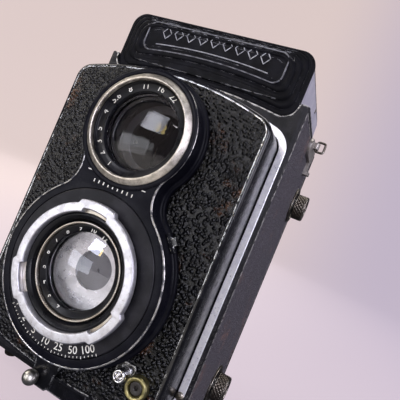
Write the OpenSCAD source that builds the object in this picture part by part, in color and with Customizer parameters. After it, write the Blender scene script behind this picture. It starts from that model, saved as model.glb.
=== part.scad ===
// Twin lens reflex camera for 6 x 6 cm pictures on roll film, 1930s pattern.
// The lenses look along -Y, +X is at the right of someone facing the lenses, +Z is up.
// The origin is the middle of the tripod socket's face, which is level with the feet.

/* [Body] */
// Width across the leather-covered sides
body_w = 74.6; // [74:0.2:78]
// Depth from the body's front face to its back
body_d = 67; // [66:0.5:70]
// Height of the body's own casing above its underside
body_h = 115.4; // [115:0.2:118]
// Height of the feet and of the tripod bush under the casing
feet_h = 3.3; // [3:0.1:4]
// Radius of the two upright edges at the back
back_r = 7; // [5:0.5:7]
// Thickness of the casing
wall = 1.5; // [1.2:0.1:1.6]

/* [Lenses] */
// Height of the taking lens above the tripod socket's face
taking_z = 49.3; // [49:0.1:50]
// Distance between the two lens axes
lens_gap = 42; // [41.5:0.5:43]
// How far the lens board stands out of the body when focused on infinity
board_out = 16; // [14:0.5:18]
// How far the lens board moves out for near focus
focus_travel = 6.5; // [5:0.5:7]

/* [Lens board] */
// Half width of the board
board_half = 33.3; // [33:0.1:33.4]
// Top of the board above the taking lens
board_up = 62.3; // [62:0.1:62.6]
// Bottom of the board below the taking lens
board_down = 32.8; // [32:0.1:33]
// Radius of the board's four corners
board_r = 5.2; // [4:0.2:7]
// Radius of the arched top edge
arch_top = 98; // [95:1:140]
// Radius of the arched bottom edge
arch_low = 140; // [110:5:200]
// Thickness of the board's sheet metal
sheet = 1.2; // [1:0.1:1.3]

/* [Finder] */
// Half width of the finder housing and its nameplate
hood_half = 34; // [33:0.5:34.5]
// Height of the folded finder above the casing
hood_h = 16.6; // [16:0.2:17.5]
// Rounding between the hood lid's top and its sides
hood_r = 5.5; // [4:0.5:6]

/* [Film] */
// Radius of a roll film spool's end discs
spool_r = 12.6; // [12:0.1:12.6]
// Length of a roll film spool
spool_len = 65.2; // [64:0.1:65.4]
// Side of the square picture
gate = 56; // [54:1:57]

/* [Hidden] */
$fn = 64;

half = body_w / 2;
front = -body_d / 2;
back = body_d / 2;
floor_z = feet_h;
top_z = feet_h + body_h;
hood_top = top_z + hood_h;
viewing_z = taking_z + lens_gap;
board_y = front - board_out;
skin = 0.5;
fit = 0.3;
inner = half - wall;
// The door takes the rear of the casing from this depth, up to this height
door_y = 24.3;
door_top = 111.5;
low_round = 5.5;
leg_front = front + low_round + 0.1;
// Spool axes, rollers and the film plane
upper_y = 18.9;
upper_z = taking_z + 45.1;
lower_y = 2.5;
lower_z = 17.9;
film_y = 27;
spool_pin_r = 3;
// Reflex mirror: its plane passes this depth at the viewing axis
mirror_y = -4.5;
mirror_t = 0.8;
// Focusing shaft
focus_y = -16;
focus_z = 72;
// Film counter dial
counter_y = 1.5;
// Back hinge
hinge_y = back + 0.8;
hinge_z = door_top + 0.15;
knuckle_r = 1.5;
// Levels in front of the board, as distances from the board's face
plate_h = 1.5;
bezel_h = 6.9;
view_front = 7.7;
take_front = 10.2;
shutter_front = 7.1;
rv = 17.4;
rt = 25.6;
waist_r = 9;
// Hood folding axes
lid_y = -30;
lid_z = hood_top - 0.7;
panel_z = top_z + 3.1;
panel_x = 31.6;
rear_axis_y = 17.2;
rear_axis_z = panel_z - 1;
lid_back = 17.3;

// Arc of points round (cx, cy) from angle a to angle b
function arc(cx, cy, r, a, b, n) =
    [for (i = [0:n]) let (t = a + (b - a) * i / n) [cx + r * cos(t), cy + r * sin(t)]];
// Outline with arched top and bottom and round corners, in X and Z
function arched(w, up, down, ra, rb, rc) =
    let (xa = w - rc,
         za = up - ra + sqrt(pow(ra - rc, 2) - xa * xa),
         zb = -down + rb - sqrt(pow(rb - rc, 2) - xa * xa),
         ta = atan2(za - up + ra, xa),
         tb = atan2(zb + down - rb, xa))
    concat(arc(xa, zb, rc, tb, 0, 8), arc(xa, za, rc, 0, ta, 8),
        arc(0, up - ra, ra, ta, 180 - ta, 24), arc(-xa, za, rc, 180 - ta, 180, 8),
        arc(-xa, zb, rc, 180, 180 - tb, 8), arc(0, -down + rb, rb, -180 - tb, tb, 24));
module board_outline(grow) {
    translate([0, taking_z])
        polygon(arched(board_half + grow, board_up + grow, board_down + grow,
            arch_top + grow, arch_low + grow, board_r + grow));
}
// Nameplate outline: flat top with round corners, bottom edge bowed upwards
plate_low = taking_z + 67.3;
plate_bow = 168;
function plate_points(inset) =
    let (w = hood_half - inset, r = 4.6 - inset / 3, xa = w - r, rb = plate_bow,
         low = plate_low + inset - (rb - sqrt(rb * rb - w * w)) + 2.9,
         za = low - rb + sqrt(pow(rb + r, 2) - xa * xa),
         tb = atan2(za - low + rb, xa))
    concat(arc(xa, za, r, tb - 180, 0, 10), arc(w - 5, hood_top - 5, 5, 0, 90, 8),
        arc(-w + 5, hood_top - 5, 5, 90, 180, 8), arc(-xa, za, r, 180, 360 - tb, 10),
        arc(0, low - rb, rb, 180 - tb, tb, 24));

module along_y(y0, y1) {
    translate([0, y1, 0]) rotate([90, 0, 0]) linear_extrude(y1 - y0) children();
}
module along_x(x0, x1) {
    translate([x0, 0, 0]) rotate([90, 0, 90]) linear_extrude(x1 - x0) children();
}
module rod_x(r, x0, x1, y, z) {
    translate([x0, y, z]) rotate([0, 90, 0]) cylinder(r = r, h = x1 - x0);
}
module rod_y(r, y0, y1, x, z) {
    translate([x, y1, z]) rotate([90, 0, 0]) cylinder(r = r, h = y1 - y0);
}
module ring_y(ri, ro, y0, y1, z) {
    along_y(y0, y1) translate([0, z]) difference() { circle(ro); circle(ri); }
}
module box(x0, x1, y0, y1, z0, z1) {
    translate([x0, y0, z0]) cube([x1 - x0, y1 - y0, z1 - z0]);
}
// Plan of the casing: small radius at the front, back_r at the back
module plan(grow) {
    w = half - grow;
    f = front + grow;
    b = back - grow;
    rb = back_r - grow;
    rf = 1.8 - grow;
    translate([-w, f + max(rf, 0)]) square([2 * w, b - rb - f - max(rf, 0)]);
    translate([-w + rb, f + 5]) square([2 * (w - rb), b - f - 5]);
    for (s = [-1, 1]) translate([s * (w - rb), b - rb]) circle(rb);
    if (rf > 0) {
        translate([-w + rf, f]) square([2 * (w - rf), 6]);
        for (s = [-1, 1]) translate([s * (w - rf), f + rf]) circle(rf);
    } else {
        translate([-w, f]) square([2 * w, 6]);
    }
}
// Side profile of the fixed casing, in Y and Z, with the round edge under the front
module side_profile(grow) {
    f = front + grow;
    r = low_round - grow;
    z0 = floor_z + grow;
    z1 = top_z - grow;
    translate([f + r, z0]) square([leg_front - f - r, z1 - z0]);
    translate([f, z0 + r]) square([r + 0.01, z1 - z0 - r]);
    intersection() {
        translate([f + r, z0 + r]) circle(r);
        translate([f, z0]) square([r, r]);
    }
}

module body_shell() {
    color([0.07, 0.07, 0.075]) difference() {
        union() {
            intersection() {
                translate([0, 0, floor_z]) linear_extrude(body_h) plan(0);
                union() {
                    along_x(-half, half) side_profile(0);
                    box(-half, half, leg_front - 1, door_y - 0.3, floor_z, top_z);
                    box(-half, half, leg_front - 1, back, door_top + fit, top_z);
                }
            }
            for (s = [-1, 1])
                rod_x(knuckle_r, s * 13 - 5, s * 13 + 5, hinge_y, hinge_z);
        }
        // hollow, open at the back and underneath for the door
        intersection() {
            translate([0, 0, floor_z - 1]) linear_extrude(body_h + 1 - wall) plan(wall);
            union() {
                along_x(-inner, inner) side_profile(wall);
                box(-inner, inner, leg_front - 0.2, door_y, floor_z - 1, top_z - wall);
                box(-inner, inner, door_y - 1, back, door_top - 1, top_z - wall);
            }
        }
        // front opening for the lens board, and the nameplate's place
        along_y(front - 1, front + wall + 0.5) board_outline(0.35);
        along_y(front - 1, front + 2) polygon(plate_points(-0.1));
        // light well under the ground glass
        box(-27, 27, mirror_y - 26.5, mirror_y + 25, top_z - 3, top_z + 1);
        // pockets for the leather, spool knobs, focusing shaft and winding shaft
        translate([half - skin, 0, 0]) side_skin(1);
        translate([-half, 0, 0]) side_skin(-1);
        for (s = [-1, 1]) rod_x(spool_pin_r + 0.1, s * half - 3, s * half + 3, upper_y, upper_z);
        rod_x(spool_pin_r + 0.1, half - 3, half + 3, lower_y, lower_z);
        rod_x(2.6, -half - 3, -half + 3, focus_y, focus_z);
        rod_x(0.8, -half - 3, -half + 3, counter_y, upper_z);
        // room for the door's knuckle, and the hinge pin's bore
        rod_x(knuckle_r + fit, -8 - 0.1, 8 + 0.1, hinge_y, hinge_z);
        rod_x(0.7, -20, 20, hinge_y, hinge_z);
    }
}
// One side's leather, with holes round what comes through the side
module side_skin(side) {
    difference() {
        along_x(0, skin) polygon([[front + 1.6, floor_z + 6], [front + 3.2, floor_z + 3.2],
            [front + 6, floor_z + 1.6], [door_y - 1.6, floor_z + 1.6],
            [door_y - 1.6, top_z - 2], [front + 1.6, top_z - 2]]);
        rod_x(7.6, -1, 2, upper_y, upper_z);
        if (side > 0)
            rod_x(7.6, -1, 2, lower_y, lower_z);
        else {
            rod_x(2.8, -1, 2, focus_y, focus_z);
            rod_x(0.9, -1, 2, counter_y, upper_z);
        }
    }
}
module side_leathers() {
    color([0.12, 0.11, 0.12]) {
        translate([half - skin, 0, 0]) side_skin(1);
        translate([-half, 0, 0]) side_skin(-1);
    }
}
module front_flange() {
    color([0.8, 0.8, 0.83]) difference() {
        along_y(front - 0.6, front) difference() {
            board_outline(2.6);
            board_outline(0.3);
        }
        along_y(front - 2, front + 1) polygon(plate_points(-0.2));
    }
}
module case_screws() {
    color([0.8, 0.78, 0.72]) {
        for (s = [-1, 1])
            translate([s * (board_half + 1.3), front - 0.6, taking_z - 25]) intersection() {
                translate([0, 0.9, 0]) sphere(1.5);
                rod_y(1.6, -1, 0, 0, 0);
            }
        for (s = [-1, 1], y = [-0.3]) translate([s * hood_half, y, taking_z + 80])
            rotate([0, s * 90, 0]) cylinder(r = 0.9, h = 0.25);
    }
}
module nameplate() {
    color([0.05, 0.05, 0.06]) {
        for (i = [0:4])
            along_y(front + 1.2 - 0.3 * i, front + 1.8) polygon(plate_points(1.75 * i));
        along_y(front - 0.35, front + 0.2) difference() {
            plate_frame(0);
            plate_frame(1.2);
        }
        for (s = [-1, 1]) difference() {
            box(s * 29.3 - 1, s * 29.3 + 1, front + 1.7, lid_y + 0.7, hood_top - 1.4, hood_top);
            rod_x(0.4, s * 29.3 - 2, s * 29.3 + 2, lid_y, lid_z);
        }
    }
}
// Raised border on the nameplate's panel, with its lower bar bowed upwards
module plate_frame(inset) {
    w = hood_half - 7.6 - inset;
    up = hood_top - 2 - inset;
    low = plate_low + 4.3 + inset;
    intersection() {
        polygon(concat(arc(w - 3, low + 3, 3, -90, 0, 6), arc(w - 3, up - 3, 3, 0, 90, 6),
            arc(-w + 3, up - 3, 3, 90, 180, 6), arc(-w + 3, low + 3, 3, 180, 270, 6),
            arc(0, low - plate_bow, plate_bow, 99, 81, 16)));
        translate([-w, low - 1]) square([2 * w, up - low + 1]);
    }
}
module housing_profile() {
    z1 = top_z + 12;
    polygon([[front + 1.8, top_z], [front + 1.8, z1], [18.9, z1],
        [23.4, top_z + 1], [23.4, top_z]]);
}
module finder_housing() {
    color([0.72, 0.7, 0.76]) difference() {
        along_x(-hood_half, hood_half) housing_profile();
        along_x(-hood_half + 1.2, hood_half - 1.2)
            polygon([[front + 1, top_z - 1], [front + 1, top_z + 20],
                [rear_axis_y + 0.8, top_z + 20], [rear_axis_y + 0.8, top_z + 8],
                [21.6, top_z + 1], [21.6, top_z - 1]]);
    }
}
module hinge_pins() {
    color([0.7, 0.7, 0.7]) {
        for (s = [-1, 1]) rod_y(0.4, front + 1.8, 20.3, s * panel_x, panel_z);
        rod_x(0.4, -hood_half + 1.2, hood_half - 1.2, rear_axis_y, rear_axis_z);
        rod_x(0.4, -30.3, 30.3, lid_y, lid_z);
        rod_x(0.68, -18, 18, hinge_y, hinge_z);
    }
}
module ground_glass() {
    color([0.8, 0.85, 0.85, 0.7])
        box(-28.5, 28.5, mirror_y - 27.1, mirror_y + 25.8, top_z, top_z + 1);
}
module reflex_mirror() {
    span = 26.3;
    color([0.75, 0.8, 0.85]) intersection() {
        translate([0, mirror_y, viewing_z]) rotate([45, 0, 0])
            translate([-35, -span * sqrt(2), -mirror_t])
                cube([70, 2 * span * sqrt(2), mirror_t]);
        along_y(-40, 40)
            polygon([[-18, viewing_z - 30], [18, viewing_z - 30], [27, viewing_z + 27],
                [-27, viewing_z + 27]]);
        box(-35, 35, -40, 40, viewing_z - 26, top_z - wall - 0.2);
    }
}
module film_gate() {
    color([0.1, 0.1, 0.1]) difference() {
        union() {
            box(-inner, inner, film_y - 3, film_y - 1.2, taking_z - 30.2, taking_z + 28.6);
            for (s = [-1, 1]) box(s * 31.2 - 1, s * 31.2 + 1, film_y - 1.2, film_y - 0.2,
                taking_z - 29, taking_z + 28.6);
        }
        box(-gate / 2, gate / 2, film_y - 5, film_y + 1, taking_z - gate / 2,
            taking_z + gate / 2);
    }
}
// Sheet between the two chambers, clear of the light cone and the spool
module light_baffle() {
    color([0.08, 0.08, 0.08]) along_x(-31.8, 31.8)
        polygon([[-29, taking_z + 13.4], [film_y - 3.4, taking_z + 28.5],
            [film_y - 3.4, taking_z + 29.7], [-29, taking_z + 14.6]]);
}
module strap_lugs() {
    color([0.6, 0.57, 0.54]) for (s = [0, 1]) mirror([s, 0, 0]) difference() {
        union() {
            along_x(half, half + 1.1) union() {
                translate([-3, top_z - 7]) square([15, 6.4]);
                translate([-3, top_z - 3.8]) circle(3.2);
                translate([12, top_z - 3.8]) circle(3.2);
                translate([9, top_z - 12]) square([4, 6]);
            }
            box(half, half + 1.4, 0.8, 3.2, top_z - 2.9, top_z - 0.6);
            translate([half + 2, 2, top_z - 2.9]) cylinder(r = 1.2, h = 2.4);
            box(half, half + 2.4, 9.6, 12.4, top_z - 12, top_z - 10.6);
        }
        translate([half + 2, 2, top_z - 5]) cylinder(r = 0.62, h = 8);
    }
}
module strap_loop() {
    difference() {
        box(half + 1.3, half + 5.6, 1.5, 2.5, top_z - 4.1, top_z + 0.7);
        box(half + 2.9, half + 4.6, 1, 3, top_z - 3.2, top_z - 0.2);
        translate([half + 2, 2, top_z - 3.2]) box(-1.6, 1.4, -2, 2, 0, 3);
    }
    translate([half + 2, 2, top_z - 4.1]) cylinder(r = 0.55, h = 4.8);
}
module right_strap_loop() {
    color([0.4, 0.38, 0.36]) strap_loop();
}
module left_strap_loop() {
    color([0.4, 0.38, 0.36]) mirror([1, 0, 0]) strap_loop();
}
// Dished round plates under the two spool knobs and the winding knob
module knob_washers() {
    color([0.45, 0.42, 0.36]) {
        for (p = [[upper_y, upper_z], [lower_y, lower_z]])
            difference() {
                rod_x(7.5, half, half + 0.8, p[0], p[1]);
                rod_x(spool_pin_r + 0.3, half - 2, half + 2, p[0], p[1]);
                rod_x(6.2, half + 0.3, half + 2, p[0], p[1]);
            }
        difference() {
            rod_x(7.5, -half - 0.8, -half, upper_y, upper_z);
            rod_x(spool_pin_r + 0.3, -half - 2, -half + 2, upper_y, upper_z);
        }
    }
}
module focus_scale_plate() {
    color([0.75, 0.74, 0.7]) difference() {
        union() {
            rod_x(13.2, -half - 0.8, -half, focus_y, focus_z);
            along_x(-half - 0.8, -half) translate([focus_y - 2.5, focus_z])
                square([5, 15.4]);
        }
        rod_x(2.8, -half - 2, -half + 1, focus_y, focus_z);
    }
}
// Striker for the door's catch, low on the casing's front
module latch_catch() {
    color([0.08, 0.08, 0.09]) difference() {
        along_x(-7.4, 7.4)
            polygon([[front - 1.3, floor_z], [front - 1.3, floor_z + 5.6],
                [front - 0.9, floor_z + 6], [front, floor_z + 6], [front, floor_z + 5],
                [front + 0.4, floor_z + 3.2], [front + 0.4, floor_z]]);
        along_x(-half, half) side_profile(0);
    }
}

// Lens board: a deep tray with a rolled front edge that slides in the casing
module board_shell() {
    roll = 1.2;
    steps = 5;
    skirt = board_out + 9;
    color([0.06, 0.06, 0.065]) difference() {
        union() {
            for (i = [0:steps - 1])
                along_y(board_y + roll * (1 - cos(90 * (i + 1) / steps)) - 0.1,
                    board_y + roll)
                    board_outline(-roll * (1 - sin(90 * (i + 1) / steps)) - 0.001);
            along_y(board_y + roll - 0.01, board_y + skirt) board_outline(0);
        }
        along_y(board_y + skin + sheet, board_y + skirt + 1) board_outline(-sheet);
        along_y(board_y - 1, board_y + skin) board_outline(-1.1);
        rod_y(21.5, board_y - 2, board_y + 5, 0, taking_z);
        rod_y(14.4, board_y - 2, board_y + 5, 0, viewing_z);
    }
}
module board_leather() {
    color([0.09, 0.09, 0.1]) along_y(board_y, board_y + skin) difference() {
        board_outline(-1.1);
        figure_eight(1.2);
        for (p = sockets) translate([p[0], p[1]]) circle(p[2]);
    }
}
// Cable release and flash contact on the board: [x, z, outer radius]
sockets = [[21.5, taking_z - 20.1, 1.9], [26.6, taking_z - 21.3, 3.3]];
// Outline round both lenses with hollow waists, in X and Z
module figure_eight(grow) {
    a = rt + grow;
    b = rv + grow;
    w = waist_r - grow;
    d = lens_gap;
    zf = (pow(a + w, 2) - pow(b + w, 2) + d * d) / (2 * d);
    xf = sqrt(pow(a + w, 2) - zf * zf);
    translate([0, taking_z]) {
        circle(a);
        translate([0, d]) circle(b);
        difference() {
            polygon([[0, 0], [xf, zf], [0, d], [-xf, zf]]);
            for (s = [-1, 1]) translate([s * xf, zf]) circle(w);
        }
    }
}
module bezel_plate() {
    color([0.05, 0.05, 0.055]) difference() {
        union() {
            along_y(board_y - plate_h, board_y + skin) figure_eight(1.2);
            along_y(board_y - bezel_h, board_y) figure_eight(-0.1);
        }
        rod_y(23, board_y - 20, board_y + 5, 0, taking_z);
        rod_y(16, board_y - 20, board_y + 5, 0, viewing_z);
    }
}
module viewing_barrel() {
    color([0.06, 0.06, 0.07]) {
        ring_y(15.93, rv, board_y - view_front + 0.2, board_y - bezel_h, viewing_z);
        ring_y(12.8, 15.98, board_y - bezel_h, board_y + skin, viewing_z);
        ring_y(12.8, 14.35, board_y + skin - 0.1, board_y + 11, viewing_z);
        ring_y(11.1, 12.9, board_y - 5.4, board_y + 11, viewing_z);
    }
}
module viewing_ring() {
    color([0.82, 0.8, 0.76])
        ring_y(13.9, 15.93, board_y - view_front, board_y - bezel_h, viewing_z);
}
// Front element: a disc with a domed front, r across, its rim at depth y
module dome(r, y, rise, back_t, z) {
    big = (r * r + rise * rise) / (2 * rise);
    intersection() {
        translate([0, y + big - rise, z]) sphere(big, $fn = 128);
        rod_y(r, y - rise - 1, y + back_t, 0, z);
    }
}
module viewing_glass() {
    color([0.5, 0.55, 0.65, 0.5]) dome(11.08, board_y - 4.4, 1.9, 2.5, viewing_z);
}
module shutter_housing() {
    color([0.1, 0.1, 0.1]) {
        ring_y(16.2, 22.9, board_y - shutter_front + 1, board_y + skin, taking_z);
        ring_y(11.2, 21.4, board_y + skin, board_y + 7.5, taking_z);
        ring_y(10, 12.5, board_y + 7.5, board_y + 12, taking_z);
    }
}
module shutter_face() {
    color([0.35, 0.35, 0.38])
        ring_y(15.85, 17.9, board_y - shutter_front, board_y - shutter_front + 1, taking_z);
}
module bayonet_ring() {
    color([0.93, 0.93, 0.95]) along_y(board_y - take_front, board_y - take_front + 2.2)
        translate([0, taking_z]) difference() {
            union() {
                circle(18.54);
                for (a = [90, 210, 330]) intersection() {
                    circle(19.5);
                    rotate(a) translate([0, -6.2]) square([22, 12.4]);
                }
            }
            circle(15.85);
            for (a = [90, 210, 330]) rotate(a) translate([15, -4]) square([1.6, 8]);
        }
    color([0.93, 0.93, 0.95])
        ring_y(15.85, 17.6, board_y - take_front + 2.2, board_y - shutter_front, taking_z);
}
module taking_cell() {
    color([0.07, 0.07, 0.08]) {
        ring_y(13.6, 15.8, board_y - take_front + 1.4, board_y + skin, taking_z);
        ring_y(12.7, 13.6, board_y - 7, board_y - 2, taking_z);
        ring_y(10.7, 12.7, board_y - 6.2, board_y - 2, taking_z);
    }
}
module taking_glass() {
    color([0.4, 0.4, 0.6, 0.5]) dome(10.68, board_y - 5, 2.2, 2.5, taking_z);
}
module aperture_blades() {
    color([0.2, 0.2, 0.22]) ring_y(5, 11.1, board_y + 1, board_y + 1.6, taking_z);
}
module cable_socket() {
    color([0.85, 0.85, 0.87]) difference() {
        rod_y(1.9, board_y - 3.6, board_y + skin, sockets[0][0], sockets[0][1]);
        rod_y(1.0, board_y - 5, board_y - 0.6, sockets[0][0], sockets[0][1]);
    }
}
module sync_collar() {
    color([0.6, 0.52, 0.25]) difference() {
        rod_y(3.3, board_y - 2.4, board_y + skin, sockets[1][0], sockets[1][1]);
        rod_y(1.9, board_y - 5, board_y + 2, sockets[1][0], sockets[1][1]);
    }
}
module sync_insulator() {
    color([0.1, 0.1, 0.1]) difference() {
        rod_y(1.9, board_y - 1.8, board_y + skin, sockets[1][0], sockets[1][1]);
        rod_y(0.5, board_y - 5, board_y - 0.5, sockets[1][0], sockets[1][1]);
    }
}
// Levers that ride on the ledge round the shutter
module ledge_lever(middle, sweep, reach, width) {
    ri = rt + 0.15;
    y0 = board_y - plate_h - 1.2;
    y1 = board_y - plate_h - 0.15;
    translate([0, y1, taking_z]) rotate([90, 0, 0]) union() {
        rotate([0, 0, middle - sweep / 2]) rotate_extrude(angle = sweep)
            translate([ri, 0]) square([1.2, y1 - y0]);
        rotate([0, 0, middle]) translate([ri + 0.3, -width / 2, 0])
            cube([reach - ri - 0.3, width, y1 - y0]);
    }
}
stud_x = -2.2;
stud_z = taking_z - 33;
module shutter_lever() {
    color([0.06, 0.06, 0.065]) difference() {
        ledge_lever(-90, 50, 35.4, 7.2);
        rod_y(1.5, board_y - 5, board_y, stud_x, stud_z);
    }
}
module lever_stud() {
    y = board_y - plate_h - 1.2;
    color([0.8, 0.79, 0.76]) {
        translate([stud_x, y - 1.7, stud_z]) sphere(2.2);
        rod_y(1.5, y - 1.7, y + 1.05, stud_x, stud_z);
    }
}
module speed_ring() {
    color([0.35, 0.35, 0.38])
        ring_y(18, 22.8, board_y - shutter_front, board_y - shutter_front + 0.9, taking_z);
}
module aperture_lever() {
    color([0.7, 0.7, 0.7]) ledge_lever(40, 12, 28.2, 2.4);
}
module knurled(r, x0, x1, y, z, teeth) {
    difference() {
        rod_x(r, x0, x1, y, z);
        for (i = [0:teeth - 1])
            translate([x0 - 1, y, z]) rotate([i * 360 / teeth, 0, 0])
                translate([0, r, 0]) rotate([45, 0, 0])
                    translate([0, -0.25, -0.25]) cube([x1 - x0 + 2, 0.5, 0.5]);
    }
}
module focus_knob() {
    color([0.7, 0.68, 0.64]) difference() {
        union() {
            rod_x(10.2, -half - 2.6, -half - 1.2, focus_y, focus_z);
            knurled(11, -half - 9, -half - 2.6, focus_y, focus_z, 48);
        }
        rod_x(2.5, -half - 6, -half, focus_y, focus_z);
        rod_x(8.6, -half - 10, -half - 8.6, focus_y, focus_z);
    }
}
// Cross shaft with the two cam discs that drive the board
module focus_shaft() {
    color([0.7, 0.7, 0.7]) {
        rod_x(2.5, -half - 6, inner - 0.3, focus_y, focus_z);
        for (s = [-1, 1]) rod_x(3.4, s * 29 - 1.5, s * 29 + 1.5, focus_y - 0.3, focus_z + 0.2);
    }
}
module winding_knob() {
    color([0.7, 0.68, 0.64]) difference() {
        knurled(10, -half - 7.6, -half - 1.1, upper_y, upper_z, 44);
        rod_x(spool_pin_r, -half - 5, -half, upper_y, upper_z);
        rod_x(7.4, -half - 9, -half - 7.2, upper_y, upper_z);
    }
}
module winding_shaft() {
    color([0.7, 0.7, 0.7])
        rod_x(spool_pin_r, -half - 5, -spool_len / 2 + 4, upper_y, upper_z);
}
module takeup_spool() {
    l = spool_len / 2;
    color([0.15, 0.15, 0.15]) difference() {
        union() {
            rod_x(5.5, -l, l, upper_y, upper_z);
            for (s = [-1, 1]) rod_x(spool_r, s * (l - 0.6) - 0.6, s * (l - 0.6) + 0.6,
                upper_y, upper_z);
        }
        for (s = [-1, 1]) rod_x(3.3, s * l - 6, s * l + 6, upper_y, upper_z);
        box(-25, 25, upper_y - 7, upper_y + 7, upper_z - 0.6, upper_z + 0.6);
    }
}
module counter_dial() {
    color([0.8, 0.8, 0.78]) {
        rod_x(4.4, -half - 1.2, -half - 0.3, counter_y, upper_z);
        rod_x(0.7, -half - 0.3, -half + 2.5, counter_y, upper_z);
    }
}
module spool_knob(y, z) {
    difference() {
        union() {
            knurled(5.4, half + 1.1, half + 5.7, y, z, 32);
            rod_x(spool_pin_r, spool_len / 2 - 4, half + 1.2, y, z);
        }
        rod_x(3.6, half + 5.3, half + 6, y, z);
    }
}
module upper_spool_knob() {
    color([0.55, 0.52, 0.45]) spool_knob(upper_y, upper_z);
}
module lower_spool_knob() {
    color([0.55, 0.52, 0.45]) spool_knob(lower_y, lower_z);
}
module upper_film_roller() {
    color([0.8, 0.8, 0.8]) rod_x(1.5, -30, 30, film_y - 1.6, taking_z + 30.3);
}
module lower_film_roller() {
    color([0.8, 0.8, 0.8]) rod_x(2, -30, 30, film_y - 2, taking_z - 32.6);
}

// Lid of the folding finder: a tray with round edges, hinged behind the nameplate
module hood_section(grow) {
    w = hood_half - grow;
    r = hood_r - grow;
    z1 = hood_top - grow;
    translate([-w + r, z1 - 8]) square([2 * (w - r), 8]);
    for (s = [-1, 1]) translate([s * (w - r), z1 - r]) circle(r);
    translate([-w, z1 - 8]) square([2 * w, 8 - r]);
}
module hood_lid() {
    low = top_z + 12.5;
    color([0.07, 0.07, 0.075]) difference() {
        union() {
            difference() {
                along_y(lid_y - 0.7, lid_back) intersection() {
                    hood_section(0);
                    translate([-50, low]) square([100, 20]);
                }
                along_y(lid_y + 0.7, lid_back - 1.2) hood_section(1);
                box(-32, 32, lid_y - 2, lid_y + 1, low - 1, hood_top - 1.4);
            }
            box(-6, 6, lid_back - 0.1, lid_back + 1.8, low + 0.4, low + 1.6);
        }
        rod_x(0.45, -31, 31, lid_y, lid_z);
        for (s = [-1, 1])
            box(s * 29.3 - 1.3, s * 29.3 + 1.3, lid_y - 2, lid_y + 1.2, hood_top - 5, hood_top + 1);
    }
}
module side_panel() {
    color([0.08, 0.08, 0.085]) difference() {
        union() {
            translate([0, 0, panel_z - 0.4]) linear_extrude(0.8)
                polygon([[panel_x, -29.5], [panel_x - 10, -29.5], [0.8, -16], [0.8, -1.4],
                    [panel_x - 18, -1.4], [panel_x, rear_axis_y - 1.3]]);
            rod_y(0.75, -29.5, rear_axis_y - 1.3, panel_x, panel_z);
        }
        rod_y(0.45, -40, 40, panel_x, panel_z);
    }
}
module hood_side_right() {
    side_panel();
}
module hood_side_left() {
    mirror([1, 0, 0]) side_panel();
}
module hood_rear_panel() {
    color([0.08, 0.08, 0.085]) difference() {
        union() {
            translate([0, 0, rear_axis_z - 0.4]) linear_extrude(0.8)
                polygon([[-30, rear_axis_y], [30, rear_axis_y],
                    [panel_x - 18.6, rear_axis_y - 18], [-panel_x + 18.6, rear_axis_y - 18]]);
            rod_x(0.75, -30, 30, rear_axis_y, rear_axis_z);
        }
        rod_x(0.45, -40, 40, rear_axis_y, rear_axis_z);
    }
}
mag_y = lid_y + 26;
mag_z = lid_z - 2.2;
module magnifier_frame() {
    color([0.1, 0.1, 0.1]) {
        translate([0, 0, mag_z - 0.5]) linear_extrude(1) difference() {
            translate([-10, mag_y]) square([20, 19.5]);
            translate([0, mag_y + 9.6]) circle(8.2);
        }
        rod_x(0.8, -10, 10, mag_y, mag_z);
    }
}
module magnifier_lens() {
    color([0.8, 0.9, 0.95, 0.5]) translate([0, mag_y + 9.6, mag_z]) intersection() {
        cylinder(r = 8.2, h = 4, center = true);
        translate([0, 0, 1 - 34.5]) sphere(34.5, $fn = 240);
        translate([0, 0, -1 + 34.5]) sphere(34.5, $fn = 240);
    }
}

// Back and base in one piece, hinged at the top of the back
window_x = 0;
window_z = 30;
module back_door() {
    color([0.07, 0.07, 0.075]) difference() {
        union() {
            difference() {
                translate([0, 0, floor_z]) linear_extrude(door_top - floor_z)
                    intersection() {
                        plan(0);
                        translate([-50, door_y]) square([100, 50]);
                    }
                translate([0, 0, floor_z + wall]) linear_extrude(door_top)
                    intersection() {
                        plan(sheet);
                        translate([-50, door_y - 1]) square([100, 50]);
                    }
            }
            box(-inner + fit, inner - fit, leg_front + 0.1, door_y + 1, floor_z, floor_z + wall);
            rod_x(knuckle_r, -7.8, 7.8, hinge_y, hinge_z);
            rod_y(0.8, back - 1, back + 1.3, window_x, window_z + 9);
        }
        for (s = [-1, 1])
            rod_x(knuckle_r + fit, s * 13 - 5.2, s * 13 + 5.2, hinge_y, hinge_z);
        rod_x(0.75, -20, 20, hinge_y, hinge_z);
        rod_y(5, back - 5, back + 1, window_x, window_z);
        translate([0, 0, floor_z - 1]) cylinder(r = 6, h = 4);
        difference() {
            box(-half + back_r, half - back_r, back - skin, back + 0.1, 0, 150);
            rod_x(knuckle_r, -20, 20, hinge_y, hinge_z);
            rod_y(0.8, back - 1, back + 1.3, window_x, window_z + 9);
        }
    }
}
module door_leather() {
    w = half - back_r;
    color([0.12, 0.11, 0.12]) difference() {
        box(-w, w, back - skin, back, floor_z, door_top);
        rod_x(knuckle_r + fit, -20, 20, hinge_y, hinge_z);
        rod_y(5, back - 5, back + 1, window_x, window_z);
        rod_y(0.8, back - 5, back + 1, window_x, window_z + 9);
    }
}
module door_feet() {
    color([0.5, 0.47, 0.42]) for (s = [-1, 1], y = [leg_front + 3, back - 5])
        translate([s * 32.4, y, 0]) cylinder(r = 2.4, h = floor_z);
}
module tripod_bush() {
    color([0.7, 0.7, 0.7]) difference() {
        union() {
            cylinder(r = 9, h = floor_z);
            cylinder(r = 6, h = floor_z + wall);
        }
        translate([0, 0, -1]) cylinder(r = 4.76, h = 5.2);
    }
}
latch_y = -20.5;
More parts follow.
